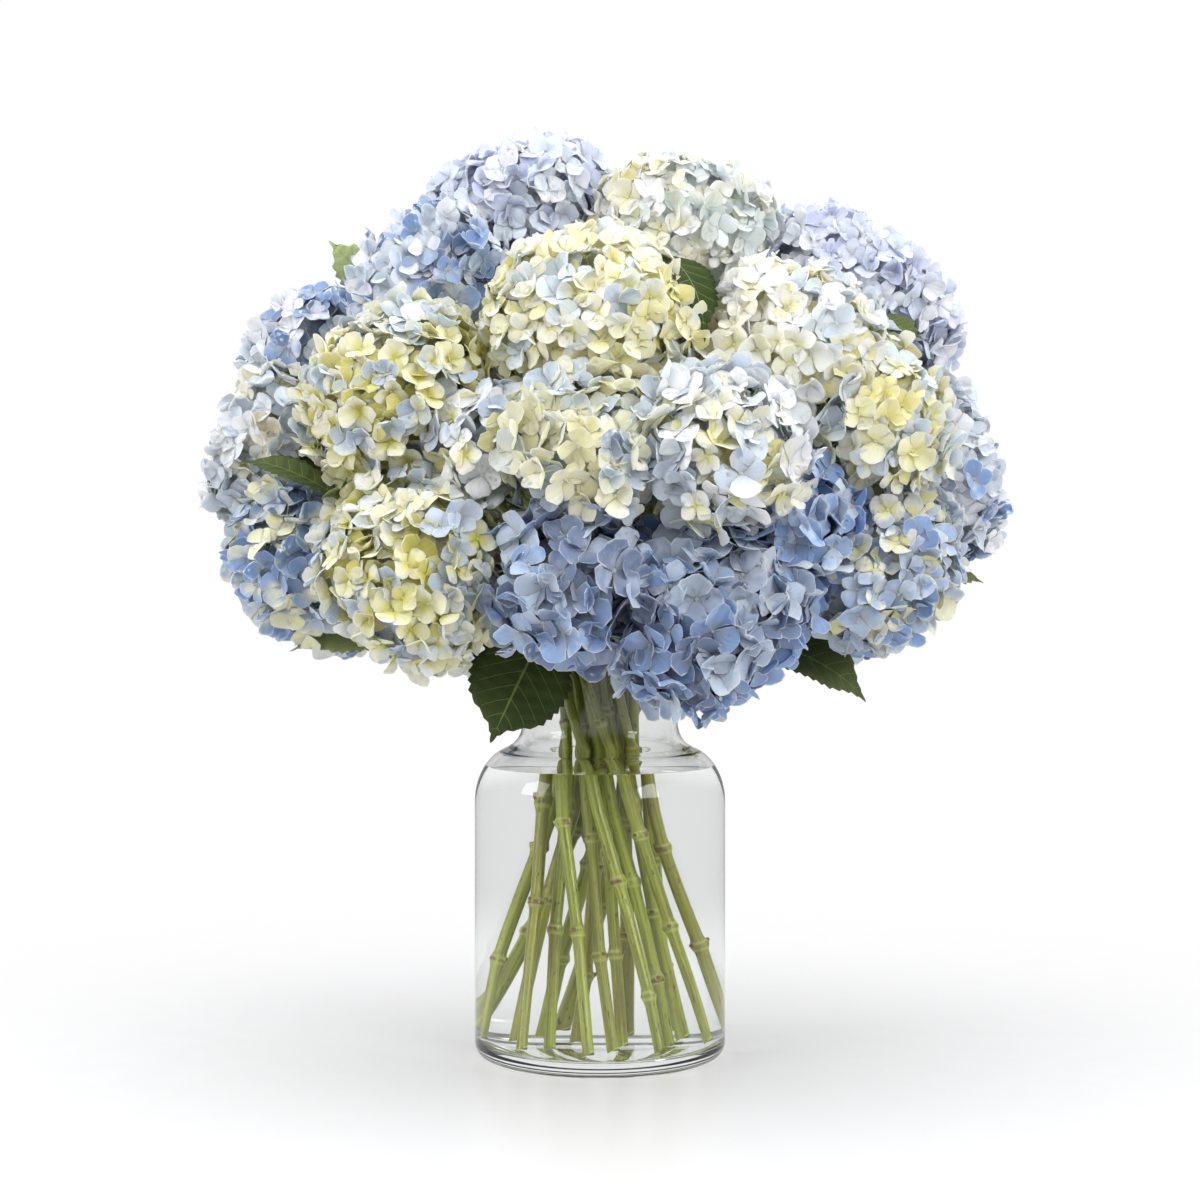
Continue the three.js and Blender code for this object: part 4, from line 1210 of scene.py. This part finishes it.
def leaf_mesh(name, leaf):
    """A serrated blade of two faces that meet at its margin, puckered between its veins."""
    width, young = leaf.width, leaf.young
    base = Vector(leaf.base)
    along = Vector(leaf.tip) - base
    length = along.length
    side = along.cross(Vector(leaf.facing)).normalized()
    normal = side.cross(along).normalized()
    teeth = max(9, int(length / TOOTH_SPACING))
    rows = teeth * 5
    columns = 9
    corners, faces = [], []
    values = {"along": [], "across": [], "row": [], "underside": [], "young": []}
    upper, lower = [], []

    def place(s, across, under):
        """Adds a corner at a share of the length, and from -1 to 1 across, and gives its number."""
        step = s * teeth
        phase = step - math.floor(step)
        tooth = min(TOOTH_DEPTH, 0.1 * width) * (phase - 0.45) * min(1, 6 * s, 7 * (1 - s))
        plain = width / 2 * blade_fullness(s)
        half = plain + (tooth if abs(across) > 0.99 else 0)
        ends = min(1, 12 * s, 12 * (1 - s))
        swept = s - 0.85 * abs(across) ** 1.15 * plain / length
        row = swept * VEINS_ALONG
        pucker = PUCKER * math.cos(TAU * row) * min(1, abs(across) * 3) * (1 - abs(across) ** 3)
        wave = 0.02 * width * math.sin(9 * s + 1.5 * across + young * 9) * abs(across)
        curl = -0.4 * length * max(0, s - 0.7) ** 2
        lift = 4 * leaf.arch * s * (1 - s) + 0.18 * abs(across) * plain + (pucker + wave) * ends + curl
        thick = (MIDRIB_SWELL * (1 - abs(across)) + MARGIN_THICKNESS) * ends
        corners.append(base + along * s + side * half * across + normal * (lift - (thick if under else 0)))
        values["along"].append(s)
        values["across"].append(across)
        values["row"].append(row)
        values["underside"].append(1.0 if under else 0.0)
        values["young"].append(young)
        return len(corners) - 1

    for under, sheet in ((False, upper), (True, lower)):
        for i in range(rows + 1):
            s = i / rows
            sheet.append([place(s, -1 + 2 * j / (columns - 1), under) for j in range(columns)])
    for i in range(rows):
        for j in range(columns - 1):
            a, b, c, d = upper[i][j], upper[i][j + 1], upper[i + 1][j + 1], upper[i + 1][j]
            faces.append((a, b, c, d))
            a, b, c, d = lower[i][j], lower[i][j + 1], lower[i + 1][j + 1], lower[i + 1][j]
            faces.append((d, c, b, a))
        for j in (0, columns - 1):
            faces.append((upper[i][j], upper[i + 1][j], lower[i + 1][j], lower[i][j]))
    mesh = mesh_from(name, corners, faces)
    for key, numbers in values.items():
        store(mesh, key, "FLOAT", numbers)
    build = bmesh.new()
    build.from_mesh(mesh)
    bmesh.ops.remove_doubles(build, verts=build.verts, dist=0.02 * MM)
    bmesh.ops.recalc_face_normals(build, faces=build.faces)
    build.to_mesh(mesh)
    build.free()
    return smooth(mesh)


class BOUQUET_OT_leaves(bpy.types.Operator):
    """Makes the serrated leaves"""

    bl_idname = "bouquet.leaves"
    bl_label = "Make leaves"

    def execute(self, context):
        skin = leaf_material()
        cane_of = {head: f"cane_{i + 1:02d}" for i, (_, head, _) in enumerate(CANES)}
        for number, leaf in enumerate(LEAVES):
            name = f"leaf_{number + 1:02d}"
            piece = new_object(name, leaf_mesh(name, leaf))
            piece.data.materials.append(skin)
            keep_piece(piece, "cane", cane_of[leaf.head])
        return {"FINISHED"}


# ------------------------------------------------------------------ flower heads


def sepal(length, width, rise, curl, cup, wave, phase, twist, spots, columns):
    """One closed petal-like sepal: its corners, its faces, and how far along and across each corner is.

    It rises from the middle of the floret at an angle, curls on its way to the tip, and is cupped.
    The spots are the shares of its length where it has a row of corners.
    """
    rows = len(spots) - 1
    sides = [-1 + 2 * j / columns for j in range(columns + 1)]
    corners, marks, faces = [], [], []
    top, bottom = {}, {}
    x, z, previous = 0.6, 0.0, 0.0
    for i, u in enumerate(spots):
        angle = rise + curl * (u + previous) / 2
        x += (u - previous) * length * math.cos(angle)
        z += (u - previous) * length * math.sin(angle)
        previous = u
        half = width / 2 * (0.14 * (1 - u) + math.sin(0.86 * math.pi * u**1.15) ** 0.75)
        for j, v in enumerate(sides):
            lift = cup * half * (v * v - 0.3) + wave * half * v * math.sin(4.2 * u + phase)
            lean = math.sin(twist * u) * v * half
            back = 0.13 * length * v * v * u * u
            corner = Vector((
                x - back * math.cos(angle), v * half * math.cos(twist * u), z - back * math.sin(angle) + lift + lean,
            ))
            top[i, j] = bottom[i, j] = len(corners)
            corners.append(corner)
            marks.append((u, v))
            if 0 < i < rows and 0 < j < columns:
                bottom[i, j] = len(corners)
                corners.append(corner - Vector((0, 0, SEPAL_THICKNESS)))
                marks.append((u, v))
    for i in range(rows):
        for j in range(columns):
            for table in (top, bottom):
                ring = (table[i, j], table[i + 1, j], table[i + 1, j + 1], table[i, j + 1])
                faces.append(tuple(reversed(ring)) if table is bottom else ring)
    return corners, faces, marks


def floret_mesh(name, rng, openness, fine):
    """A floret: four sepals in two pairs, and on a fine one a bead in the middle and a thin stalk."""
    corners, faces, along, across, petal = [], [], [], [], []

    def add(more_corners, more_faces, marks, which):
        start = len(corners)
        corners.extend(more_corners)
        faces.extend(tuple(start + c for c in face) for face in more_faces)
        along.extend(mark[0] for mark in marks)
        across.extend(mark[1] for mark in marks)
        petal.extend([which] * len(marks))

    spots, columns = FINE_SEPAL if fine else PLAIN_SEPAL
    rise = math.radians(4 + 50 * (1 - openness))
    for k in range(4):
        pair = k % 2
        size = rng.uniform(0.88, 1.1)
        shape = sepal(
            SEPAL_LENGTH * size, SEPAL_WIDTH * size * rng.uniform(0.9, 1.1),
            rise + math.radians(rng.uniform(-9, 9) + 6 * pair),
            math.radians(rng.uniform(-44, 26) + 26 * (1 - openness)),
            rng.uniform(-0.2, 0.62), rng.uniform(0.05, 0.26), rng.uniform(0, TAU),
            math.radians(rng.uniform(-20, 20)), spots, columns,
        )
        spin = Matrix.Rotation(k * TAU / 4 + rng.uniform(-0.14, 0.14), 3, "Z")
        lifted = Vector((0, 0, 0.5 * pair))
        add([spin @ corner + lifted for corner in shape[0]], shape[1], shape[2], rng.random())
    if fine:
        bead = [Vector((0, 0, 1.7)), *ring_of_corners(1.3, 6, 0.5), Vector((0, 0, -0.6))]
        bead_faces = [(0, 1 + i, 1 + (i + 1) % 6) for i in range(6)]
        bead_faces += [(7, 1 + (i + 1) % 6, 1 + i) for i in range(6)]
        add(bead, bead_faces, [(-0.2, 0.0)] * 8, 0.5)
        stalk = ring_of_corners(0.55, 3, -0.2) + ring_of_corners(0.55, 3, -15.0)
        stalk_faces = [(i, i + 3, (i + 1) % 3 + 3, (i + 1) % 3) for i in range(3)] + [(0, 1, 2), (5, 4, 3)]
        add(stalk, stalk_faces, [(-1.0, 0.0)] * 6, 0.5)
    mesh = smooth(mesh_from(name, corners, faces))
    build = bmesh.new()
    build.from_mesh(mesh)
    bmesh.ops.recalc_face_normals(build, faces=build.faces)
    for edge in build.edges:
        edge.smooth = edge.calc_face_angle(0) < math.radians(75)
    build.to_mesh(mesh)
    build.free()
    store(mesh, "along", "FLOAT", along)
    store(mesh, "across", "FLOAT", across)
    store(mesh, "petal", "FLOAT", petal)
    return mesh


def floret_collection(name, openings, fine, seed):
    """Some florets that differ a little, for the heads to pick from."""
    rng = random.Random(seed)
    collection = bpy.data.collections.new(name)
    bpy.context.scene.collection.children.link(collection)
    for i, openness in enumerate(openings):
        shape = bpy.data.objects.new(f"{name}_{i}", floret_mesh(f"{name}_{i}", rng, openness, fine))
        collection.objects.link(shape)
    return collection


def crowding_faces(name):
    """The flat faces where a head meets its neighbours, as a direction and a distance."""
    centre, radius = head_centre(name), HEADS[name].radius
    faces = []
    for other in HEADS:
        if other == name:
            continue
        away = head_centre(other) - centre
        apart = away.length
        distance = (apart + (radius**2 - HEADS[other].radius ** 2) / apart) / 2 + HEAD_OVERLAP
        if distance < radius * DOME_SPREAD:
            faces.append((away / apart, distance))
    faces += [(Vector(way).normalized(), distance) for owner, way, distance in LEAF_GAPS if owner == name]
    return faces


def crowded_reach(direction, reach, faces):
    """A head gives way softly to its neighbours."""
    spare = 1 - YIELD_FROM
    for normal, distance in faces:
        facing = direction.dot(normal)
        if facing * reach > YIELD_FROM * distance:
            limit = distance / facing
            reach = limit * (1 - spare * math.exp((YIELD_FROM - reach / limit) / spare))
    return reach


def head_surface(name):
    """The dome that a head's florets stand on, with the colours that they take from it."""
    centre, radius = head_centre(name), HEADS[name].radius
    axis = head_axis(name)
    faces = crowding_faces(name)
    head = HEADS[name]
    build = bmesh.new()
    bmesh.ops.create_icosphere(build, subdivisions=4, radius=1)
    outward, covered, main_colour, heart_colour = [], [], [], []
    patches = [
        (Vector(at), wide, Vector(from_daylight(HUES[hue])))
        for owner, at, wide, hue in PATCHES if owner == name
    ]
    lumps = [(Vector(way).normalized(), change) for owner, way, change in LUMPS if owner == name]
    for vertex in build.verts:
        direction = vertex.co.normalized()
        crown = max(direction.dot(axis), 0)
        angle = direction.angle(axis)
        free = radius * (DOME_SPREAD - CROWN_FLATTENING * crown**2) - FLORET_DEPTH * head.floret_size
        for way, change in lumps:
            free += change * max(direction.dot(way), 0) ** 4
        if angle > HEAD_COVER - 0.25:
            free *= 1 - 0.5 * min(1, (angle - HEAD_COVER + 0.25) / 0.5)
        reach = crowded_reach(direction, free, faces)
        spot = centre + direction * reach
        outward.append(tuple(direction))
        share = min(1.0, max(0.0, (HEAD_COVER - angle) / 0.12))
        hollow = any((spot - Vector(at)).length < wide for at, wide in HOLLOWS)
        covered.append(0.0 if hollow else share * (0.25 if reach < 0.58 * free else 1.0))
        colour = Vector(from_daylight(HUES[head.main]))
        inner = Vector(from_daylight(HUES[head.heart]))
        for at, wide, hue in patches:
            fade = min(1.0, max(0.0, 1.35 - (spot - at).length / wide))
            colour = colour.lerp(hue, fade * 0.85)
            inner = inner.lerp(hue * 0.92, fade * 0.7)
        main_colour.append((*colour, 1.0))
        heart_colour.append((*inner, 1.0))
        vertex.co = spot * MM
    mesh = bpy.data.meshes.new(f"dome_{name}")
    build.to_mesh(mesh)
    build.free()
    count = len(outward)
    store(mesh, "outward", "FLOAT_VECTOR", outward)
    store(mesh, "covered", "FLOAT", covered)
    store(mesh, "main_colour", "FLOAT_COLOR", main_colour)
    store(mesh, "heart_colour", "FLOAT_COLOR", heart_colour)
    store(mesh, "other_colour", "FLOAT_COLOR", [(*from_daylight(HUES[head.other]), 1.0)] * count)
    store(mesh, "touch_colour", "FLOAT_COLOR", [(*from_daylight(HUES[head.touch]), 1.0)] * count)
    store(mesh, "other_share", "FLOAT", [head.other_share] * count)
    store(mesh, "touch_share", "FLOAT", [1 - head.touch_share] * count)
    return smooth(mesh)


def head_tree():
    """Stands florets all over a dome, in an outer and an under layer, round a core of stalks."""
    tree, given, result = new_tree("florets_on_head", [
        ("Spacing", "NodeSocketFloat"),
        ("Size", "NodeSocketFloat"),
        ("Tilt", "NodeSocketFloat"),
        ("Unevenness", "NodeSocketFloat"),
        ("Ripple", "NodeSocketFloat"),
        ("Under depth", "NodeSocketFloat"),
        ("Core depth", "NodeSocketFloat"),
        ("Seed", "NodeSocketInt"),
        ("Florets", "NodeSocketCollection"),
        ("Under florets", "NodeSocketCollection"),
        ("Petals", "NodeSocketMaterial"),
        ("Core", "NodeSocketMaterial"),
    ])

    def number(operation, *values):
        return math_node(tree, operation, *values)

    def times(vector, factor):
        return add_node(tree, "ShaderNodeVectorMath", {0: vector, "Scale": factor}, operation="SCALE").outputs[0]

    def drawn(low, high, extra, kind="FLOAT"):
        """A random value for each floret. The extra number keeps two draws apart."""
        first = {"FLOAT_VECTOR": 0, "FLOAT": 2, "INT": 4}[kind]
        output = {"FLOAT_VECTOR": 0, "FLOAT": 1, "INT": 2}[kind]
        seed = number("ADD", given["Seed"], extra)
        return add_node(
            tree, "FunctionNodeRandomValue", {first: low, first + 1: high, "Seed": seed}, data_type=kind
        ).outputs[output]

    outward = named(tree, "outward", "FLOAT_VECTOR")

    def layer(surface, spacing, collection, count, extra, size, buried):
        """Florets on a surface: laid out, pushed in or out, coloured, turned, and picked from some shapes."""
        points = add_node(
            tree, "GeometryNodeDistributePointsOnFaces",
            {"Mesh": surface, "Distance Min": spacing, "Density Max": 16000.0,
             "Density Factor": named(tree, "covered"), "Seed": number("ADD", given["Seed"], extra)},
            distribute_method="POISSON",
        ).outputs["Points"]
        jitter = number("MULTIPLY", drawn(-1.0, 0.55, extra + 6), given["Unevenness"])
        points = add_node(
            tree, "GeometryNodeSetPosition", {"Geometry": points, "Offset": times(outward, jitter)}
        ).outputs[0]
        points = stored(tree, points, "buried", buried)
        points = stored(tree, points, "floret_pick", drawn(0.0, 1.0, extra + 1))
        choice = drawn(0.0, 1.0, extra + 2)
        main, other, touch = (
            named(tree, f"{which}_colour", "FLOAT_COLOR") for which in ("main", "other", "touch")
        )
        colour = mixed(tree, number("LESS_THAN", choice, named(tree, "other_share")), main, other)
        colour = mixed(tree, number("GREATER_THAN", choice, named(tree, "touch_share")), colour, touch)
        points = stored(tree, points, "petal_colour", colour, "FLOAT_COLOR")
        straight = add_node(tree, "FunctionNodeAlignRotationToVector", {"Vector": outward}, axis="Z").outputs[0]
        negative = number("MULTIPLY", given["Tilt"], -1.0)
        low = combined(tree, negative, negative, -math.pi)
        high = combined(tree, given["Tilt"], given["Tilt"], math.pi)
        lean = add_node(
            tree, "FunctionNodeEulerToRotation", {0: drawn(low, high, extra + 3, "FLOAT_VECTOR")}
        ).outputs[0]
        rotation = add_node(
            tree, "FunctionNodeRotateRotation", {"Rotation": straight, "Rotate By": lean}, rotation_space="LOCAL"
        ).outputs[0]
        shapes = add_node(
            tree, "GeometryNodeCollectionInfo",
            {"Collection": collection, "Separate Children": True, "Reset Children": True},
        ).outputs[0]
        scale = number("MULTIPLY", drawn(0.8, 1.14, extra + 4), size)
        return add_node(
            tree, "GeometryNodeInstanceOnPoints",
            {"Points": points, "Instance": shapes, "Pick Instance": True,
             "Instance Index": drawn(0, count - 1, extra + 5, "INT"), "Rotation": rotation, "Scale": scale},
        ).outputs[0]

    def sunk(depth):
        """The dome, as far below its florets as the depth."""
        return add_node(
            tree, "GeometryNodeSetPosition",
            {"Geometry": given["Geometry"], "Offset": times(outward, number("MULTIPLY", depth, -1.0))},
        ).outputs[0]

    outer = layer(given["Geometry"], given["Spacing"], given["Florets"], len(OPENINGS), 10, given["Size"], 0.0)
    under = layer(
        sunk(given["Under depth"]), given["Spacing"], given["Under florets"],
        len(UNDER_OPENINGS), 20, number("MULTIPLY", given["Size"], 1.1), 1.0,
    )
    core = stored(tree, sunk(given["Core depth"]), "is_core", 1.0)
    core = add_node(tree, "GeometryNodeSetMaterial", {"Geometry": core, "Material": given["Core"]}).outputs[0]
    joined = tree.nodes.new("GeometryNodeJoinGeometry")
    for part in (outer, under, core):
        tree.links.new(part, joined.inputs[0])
    real = add_node(tree, "GeometryNodeRealizeInstances", {0: joined.outputs[0]}).outputs[0]
    petal = number("LESS_THAN", named(tree, "is_core"), 0.5)
    ripple = add_node(tree, "ShaderNodeTexNoise", {"Scale": 75.0, "Detail": 1.0}).outputs["Color"]
    ripple = add_node(tree, "ShaderNodeVectorMath", {0: ripple, 1: (0.5, 0.5, 0.5)}, operation="SUBTRACT").outputs[0]
    waved = add_node(
        tree, "GeometryNodeSetPosition",
        {"Geometry": real, "Selection": petal, "Offset": times(ripple, number("MULTIPLY", given["Ripple"], 2.0))},
    ).outputs[0]
    dressed = add_node(
        tree, "GeometryNodeSetMaterial", {"Geometry": waved, "Selection": petal, "Material": given["Petals"]}
    ).outputs[0]
    tree.links.new(dressed, result)
    return tree


# What only the laying of florets needs, and the finished head doesn't.
PASSING = ("outward", "other_colour", "other_share", "touch_share", "is_core")


class BOUQUET_OT_heads(bpy.types.Operator):
    """Makes the flower heads"""

    bl_idname = "bouquet.heads"
    bl_label = "Make flower heads"

    def execute(self, context):
        sizes = context.scene.bouquet_sizes
        florets = floret_collection("florets", OPENINGS, True, 31)
        under = floret_collection("under_florets", UNDER_OPENINGS, False, 61)
        tree = head_tree()
        petals, core = petal_material(), core_material()
        for number, name in enumerate(HEADS):
            size = HEADS[name].floret_size
            piece = new_object(f"flowers_{name}", head_surface(name))
            nodes_modifier(piece, tree, {
                "Spacing": sizes.floret_spacing * size,
                "Size": sizes.floret_width / (FLORET_WIDTH * MM) * size,
                "Tilt": sizes.floret_tilt,
                "Unevenness": UNEVENNESS * MM * size,
                "Ripple": sizes.petal_ripple * size,
                "Under depth": UNDER_DEPTH * MM * size,
                "Core depth": CORE_DEPTH * MM * size,
                "Seed": sizes.seed + 100 * number,
                "Florets": florets,
                "Under florets": under,
                "Petals": petals,
                "Core": core,
            })
            mesh = baked_mesh(piece)
            for passing in PASSING:
                mesh.attributes.remove(mesh.attributes[passing])
            keep_piece(piece, NODE_SLOTS[f"head_{name}"], f"head_{name}")
        for collection in (florets, under):
            for shape in list(collection.objects):
                bpy.data.objects.remove(shape)
            bpy.data.collections.remove(collection)
        return {"FINISHED"}


# ------------------------------------------------------------------ stage


def area_lamp(name, place, width, height, power):
    """A lamp that shines from a rectangle and isn't seen itself."""
    data = bpy.data.lights.new(name, "AREA")
    data.shape = "RECTANGLE"
    data.size, data.size_y = width, height
    data.energy = power
    lamp = new_object(name, data)
    lamp.location = place
    lamp.rotation_euler = (Vector(LAMP_TARGET) - Vector(place)).to_track_quat("-Z", "Y").to_euler()
    lamp.visible_camera = False


def studio_strength(tree, lighting):
    """How strongly the studio shines: seen straight, through glass or mirrored, and as light."""
    path = add_node(tree, "ShaderNodeLightPath")
    diffuse = math_node(tree, "GREATER_THAN", path.outputs["Diffuse Depth"], 0.5)
    mirror = math_node(tree, "MULTIPLY", path.outputs["Is Reflection Ray"], math_node(tree, "SUBTRACT", 1.0, diffuse))
    shown = math_node(tree, "MULTIPLY_ADD", path.outputs["Is Camera Ray"], SEEN - THROUGH, THROUGH)
    shown = math_node(tree, "MULTIPLY_ADD", mirror, MIRRORED - THROUGH, shown)
    return math_node(tree, "MULTIPLY_ADD", diffuse, math_node(tree, "SUBTRACT", lighting, THROUGH), shown)


def make_floor(tint):
    """A pale floor that shines as white as the background farther out, so that no edge shows, and glows at half
    strength under the jar, a painted light in its shadow.
    """
    build = bmesh.new()
    bmesh.ops.create_circle(build, cap_ends=True, segments=96, radius=FLOOR_RADIUS)
    mesh = bpy.data.meshes.new("floor")
    build.to_mesh(mesh)
    build.free()
    floor = new_object("floor", mesh)
    floor.location.z = -FLOOR_DROP
    material, tree, shader = new_material("floor")
    where = add_node(tree, "ShaderNodeTexCoord").outputs["Object"]
    far = add_node(tree, "ShaderNodeVectorMath", {0: where}, operation="LENGTH").outputs["Value"]
    shade = ease(tree, noise_node(tree, 40.0, 4.0), 0.3, 0.7, 0.985, 1.0)
    coated(tree, shader, mixed(tree, 1.0, tuple(tint), combined(tree, shade, shade, shade), "MULTIPLY"), 0.35)
    glow = add_node(tree, "ShaderNodeEmission", {"Strength": studio_strength(tree, 0.4)})
    # Painted light: within 60 mm of the jar's axis the floor glows at half strength, lifting the shadow under the
    # glass.
    share = math_node(tree, "MAXIMUM", ease(tree, far, 0.2, 0.75), ease(tree, far, 0.085, 0.06, 0.0, 0.5))
    mix = add_node(tree, "ShaderNodeMixShader", {0: share, 1: shader.outputs[0], 2: glow.outputs[0]})
    tree.links.new(mix.outputs[0], first_node(tree, "OUTPUT_MATERIAL").inputs["Surface"])
    mesh.materials.append(material)


def make_world(scene):
    """A white studio all round, which lights the bouquet more from above."""
    world = bpy.data.worlds.new("studio")
    scene.world = world
    world.use_nodes = True
    sky = world.node_tree
    background = first_node(sky, "BACKGROUND")
    way = add_node(sky, "ShaderNodeTexCoord").outputs["Generated"]
    height = add_node(sky, "ShaderNodeSeparateXYZ", {0: way}).outputs["Z"]
    dome = ease(sky, height, -0.2, 0.6, 0.62, 1.6)
    sky.links.new(studio_strength(sky, dome), background.inputs["Strength"])
    background.inputs["Color"].default_value = (1, 1, 1, 1)


def make_camera(scene):
    """The camera, level and straight in front, as in the photograph."""
    data = bpy.data.cameras.new("camera")
    data.lens = LENS
    data.sensor_width = SENSOR_WIDTH
    camera = new_object("camera", data)
    camera.location = CAMERA_PLACE
    camera.rotation_euler = (math.pi / 2, 0, 0)
    scene.camera = camera


class BOUQUET_OT_stage(bpy.types.Operator):
    """Makes the floor, the lamps and the camera"""

    bl_idname = "bouquet.stage"
    bl_label = "Make stage"

    def execute(self, context):
        scene = context.scene
        scene.view_settings.view_transform = "Standard"
        scene.cycles.max_bounces = 20
        scene.cycles.diffuse_bounces = 10
        scene.cycles.transmission_bounces = 16
        make_floor(scene.bouquet_colours.floor)
        make_world(scene)
        for name, lamp in LAMPS.items():
            area_lamp(name, *lamp)
        make_camera(scene)
        return {"FINISHED"}


# ------------------------------------------------------------------ panel and running


OPERATORS = (
    BOUQUET_OT_vase,
    BOUQUET_OT_water,
    BOUQUET_OT_canes,
    BOUQUET_OT_leaves,
    BOUQUET_OT_heads,
    BOUQUET_OT_stage,
)


class BOUQUET_PT_panel(bpy.types.Panel):
    """Lists the sizes, the colours and the steps that make the bouquet"""

    bl_idname = "BOUQUET_PT_panel"
    bl_label = "Hydrangeas in a vase"
    bl_space_type = "VIEW_3D"
    bl_region_type = "UI"
    bl_category = "Hydrangeas"

    def draw(self, context):
        for group in (context.scene.bouquet_sizes, context.scene.bouquet_colours):
            for name in group.__annotations__:
                self.layout.prop(group, name)
        for operator in OPERATORS:
            self.layout.operator(operator.bl_idname)


CLASSES = (BouquetSizes, BouquetColours, *OPERATORS, BOUQUET_PT_panel)


def register():
    for each in CLASSES:
        bpy.utils.register_class(each)
    bpy.types.Scene.bouquet_sizes = bpy.props.PointerProperty(type=BouquetSizes)
    bpy.types.Scene.bouquet_colours = bpy.props.PointerProperty(type=BouquetColours)


def unregister():
    del bpy.types.Scene.bouquet_colours
    del bpy.types.Scene.bouquet_sizes
    for each in reversed(CLASSES):
        bpy.utils.unregister_class(each)


def main():
    register()
    bpy.ops.bouquet.vase()
    bpy.ops.bouquet.water()
    bpy.ops.bouquet.canes()
    bpy.ops.bouquet.leaves()
    bpy.ops.bouquet.heads()
    bpy.ops.bouquet.stage()
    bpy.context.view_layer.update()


if __name__ == "__main__":
    main()
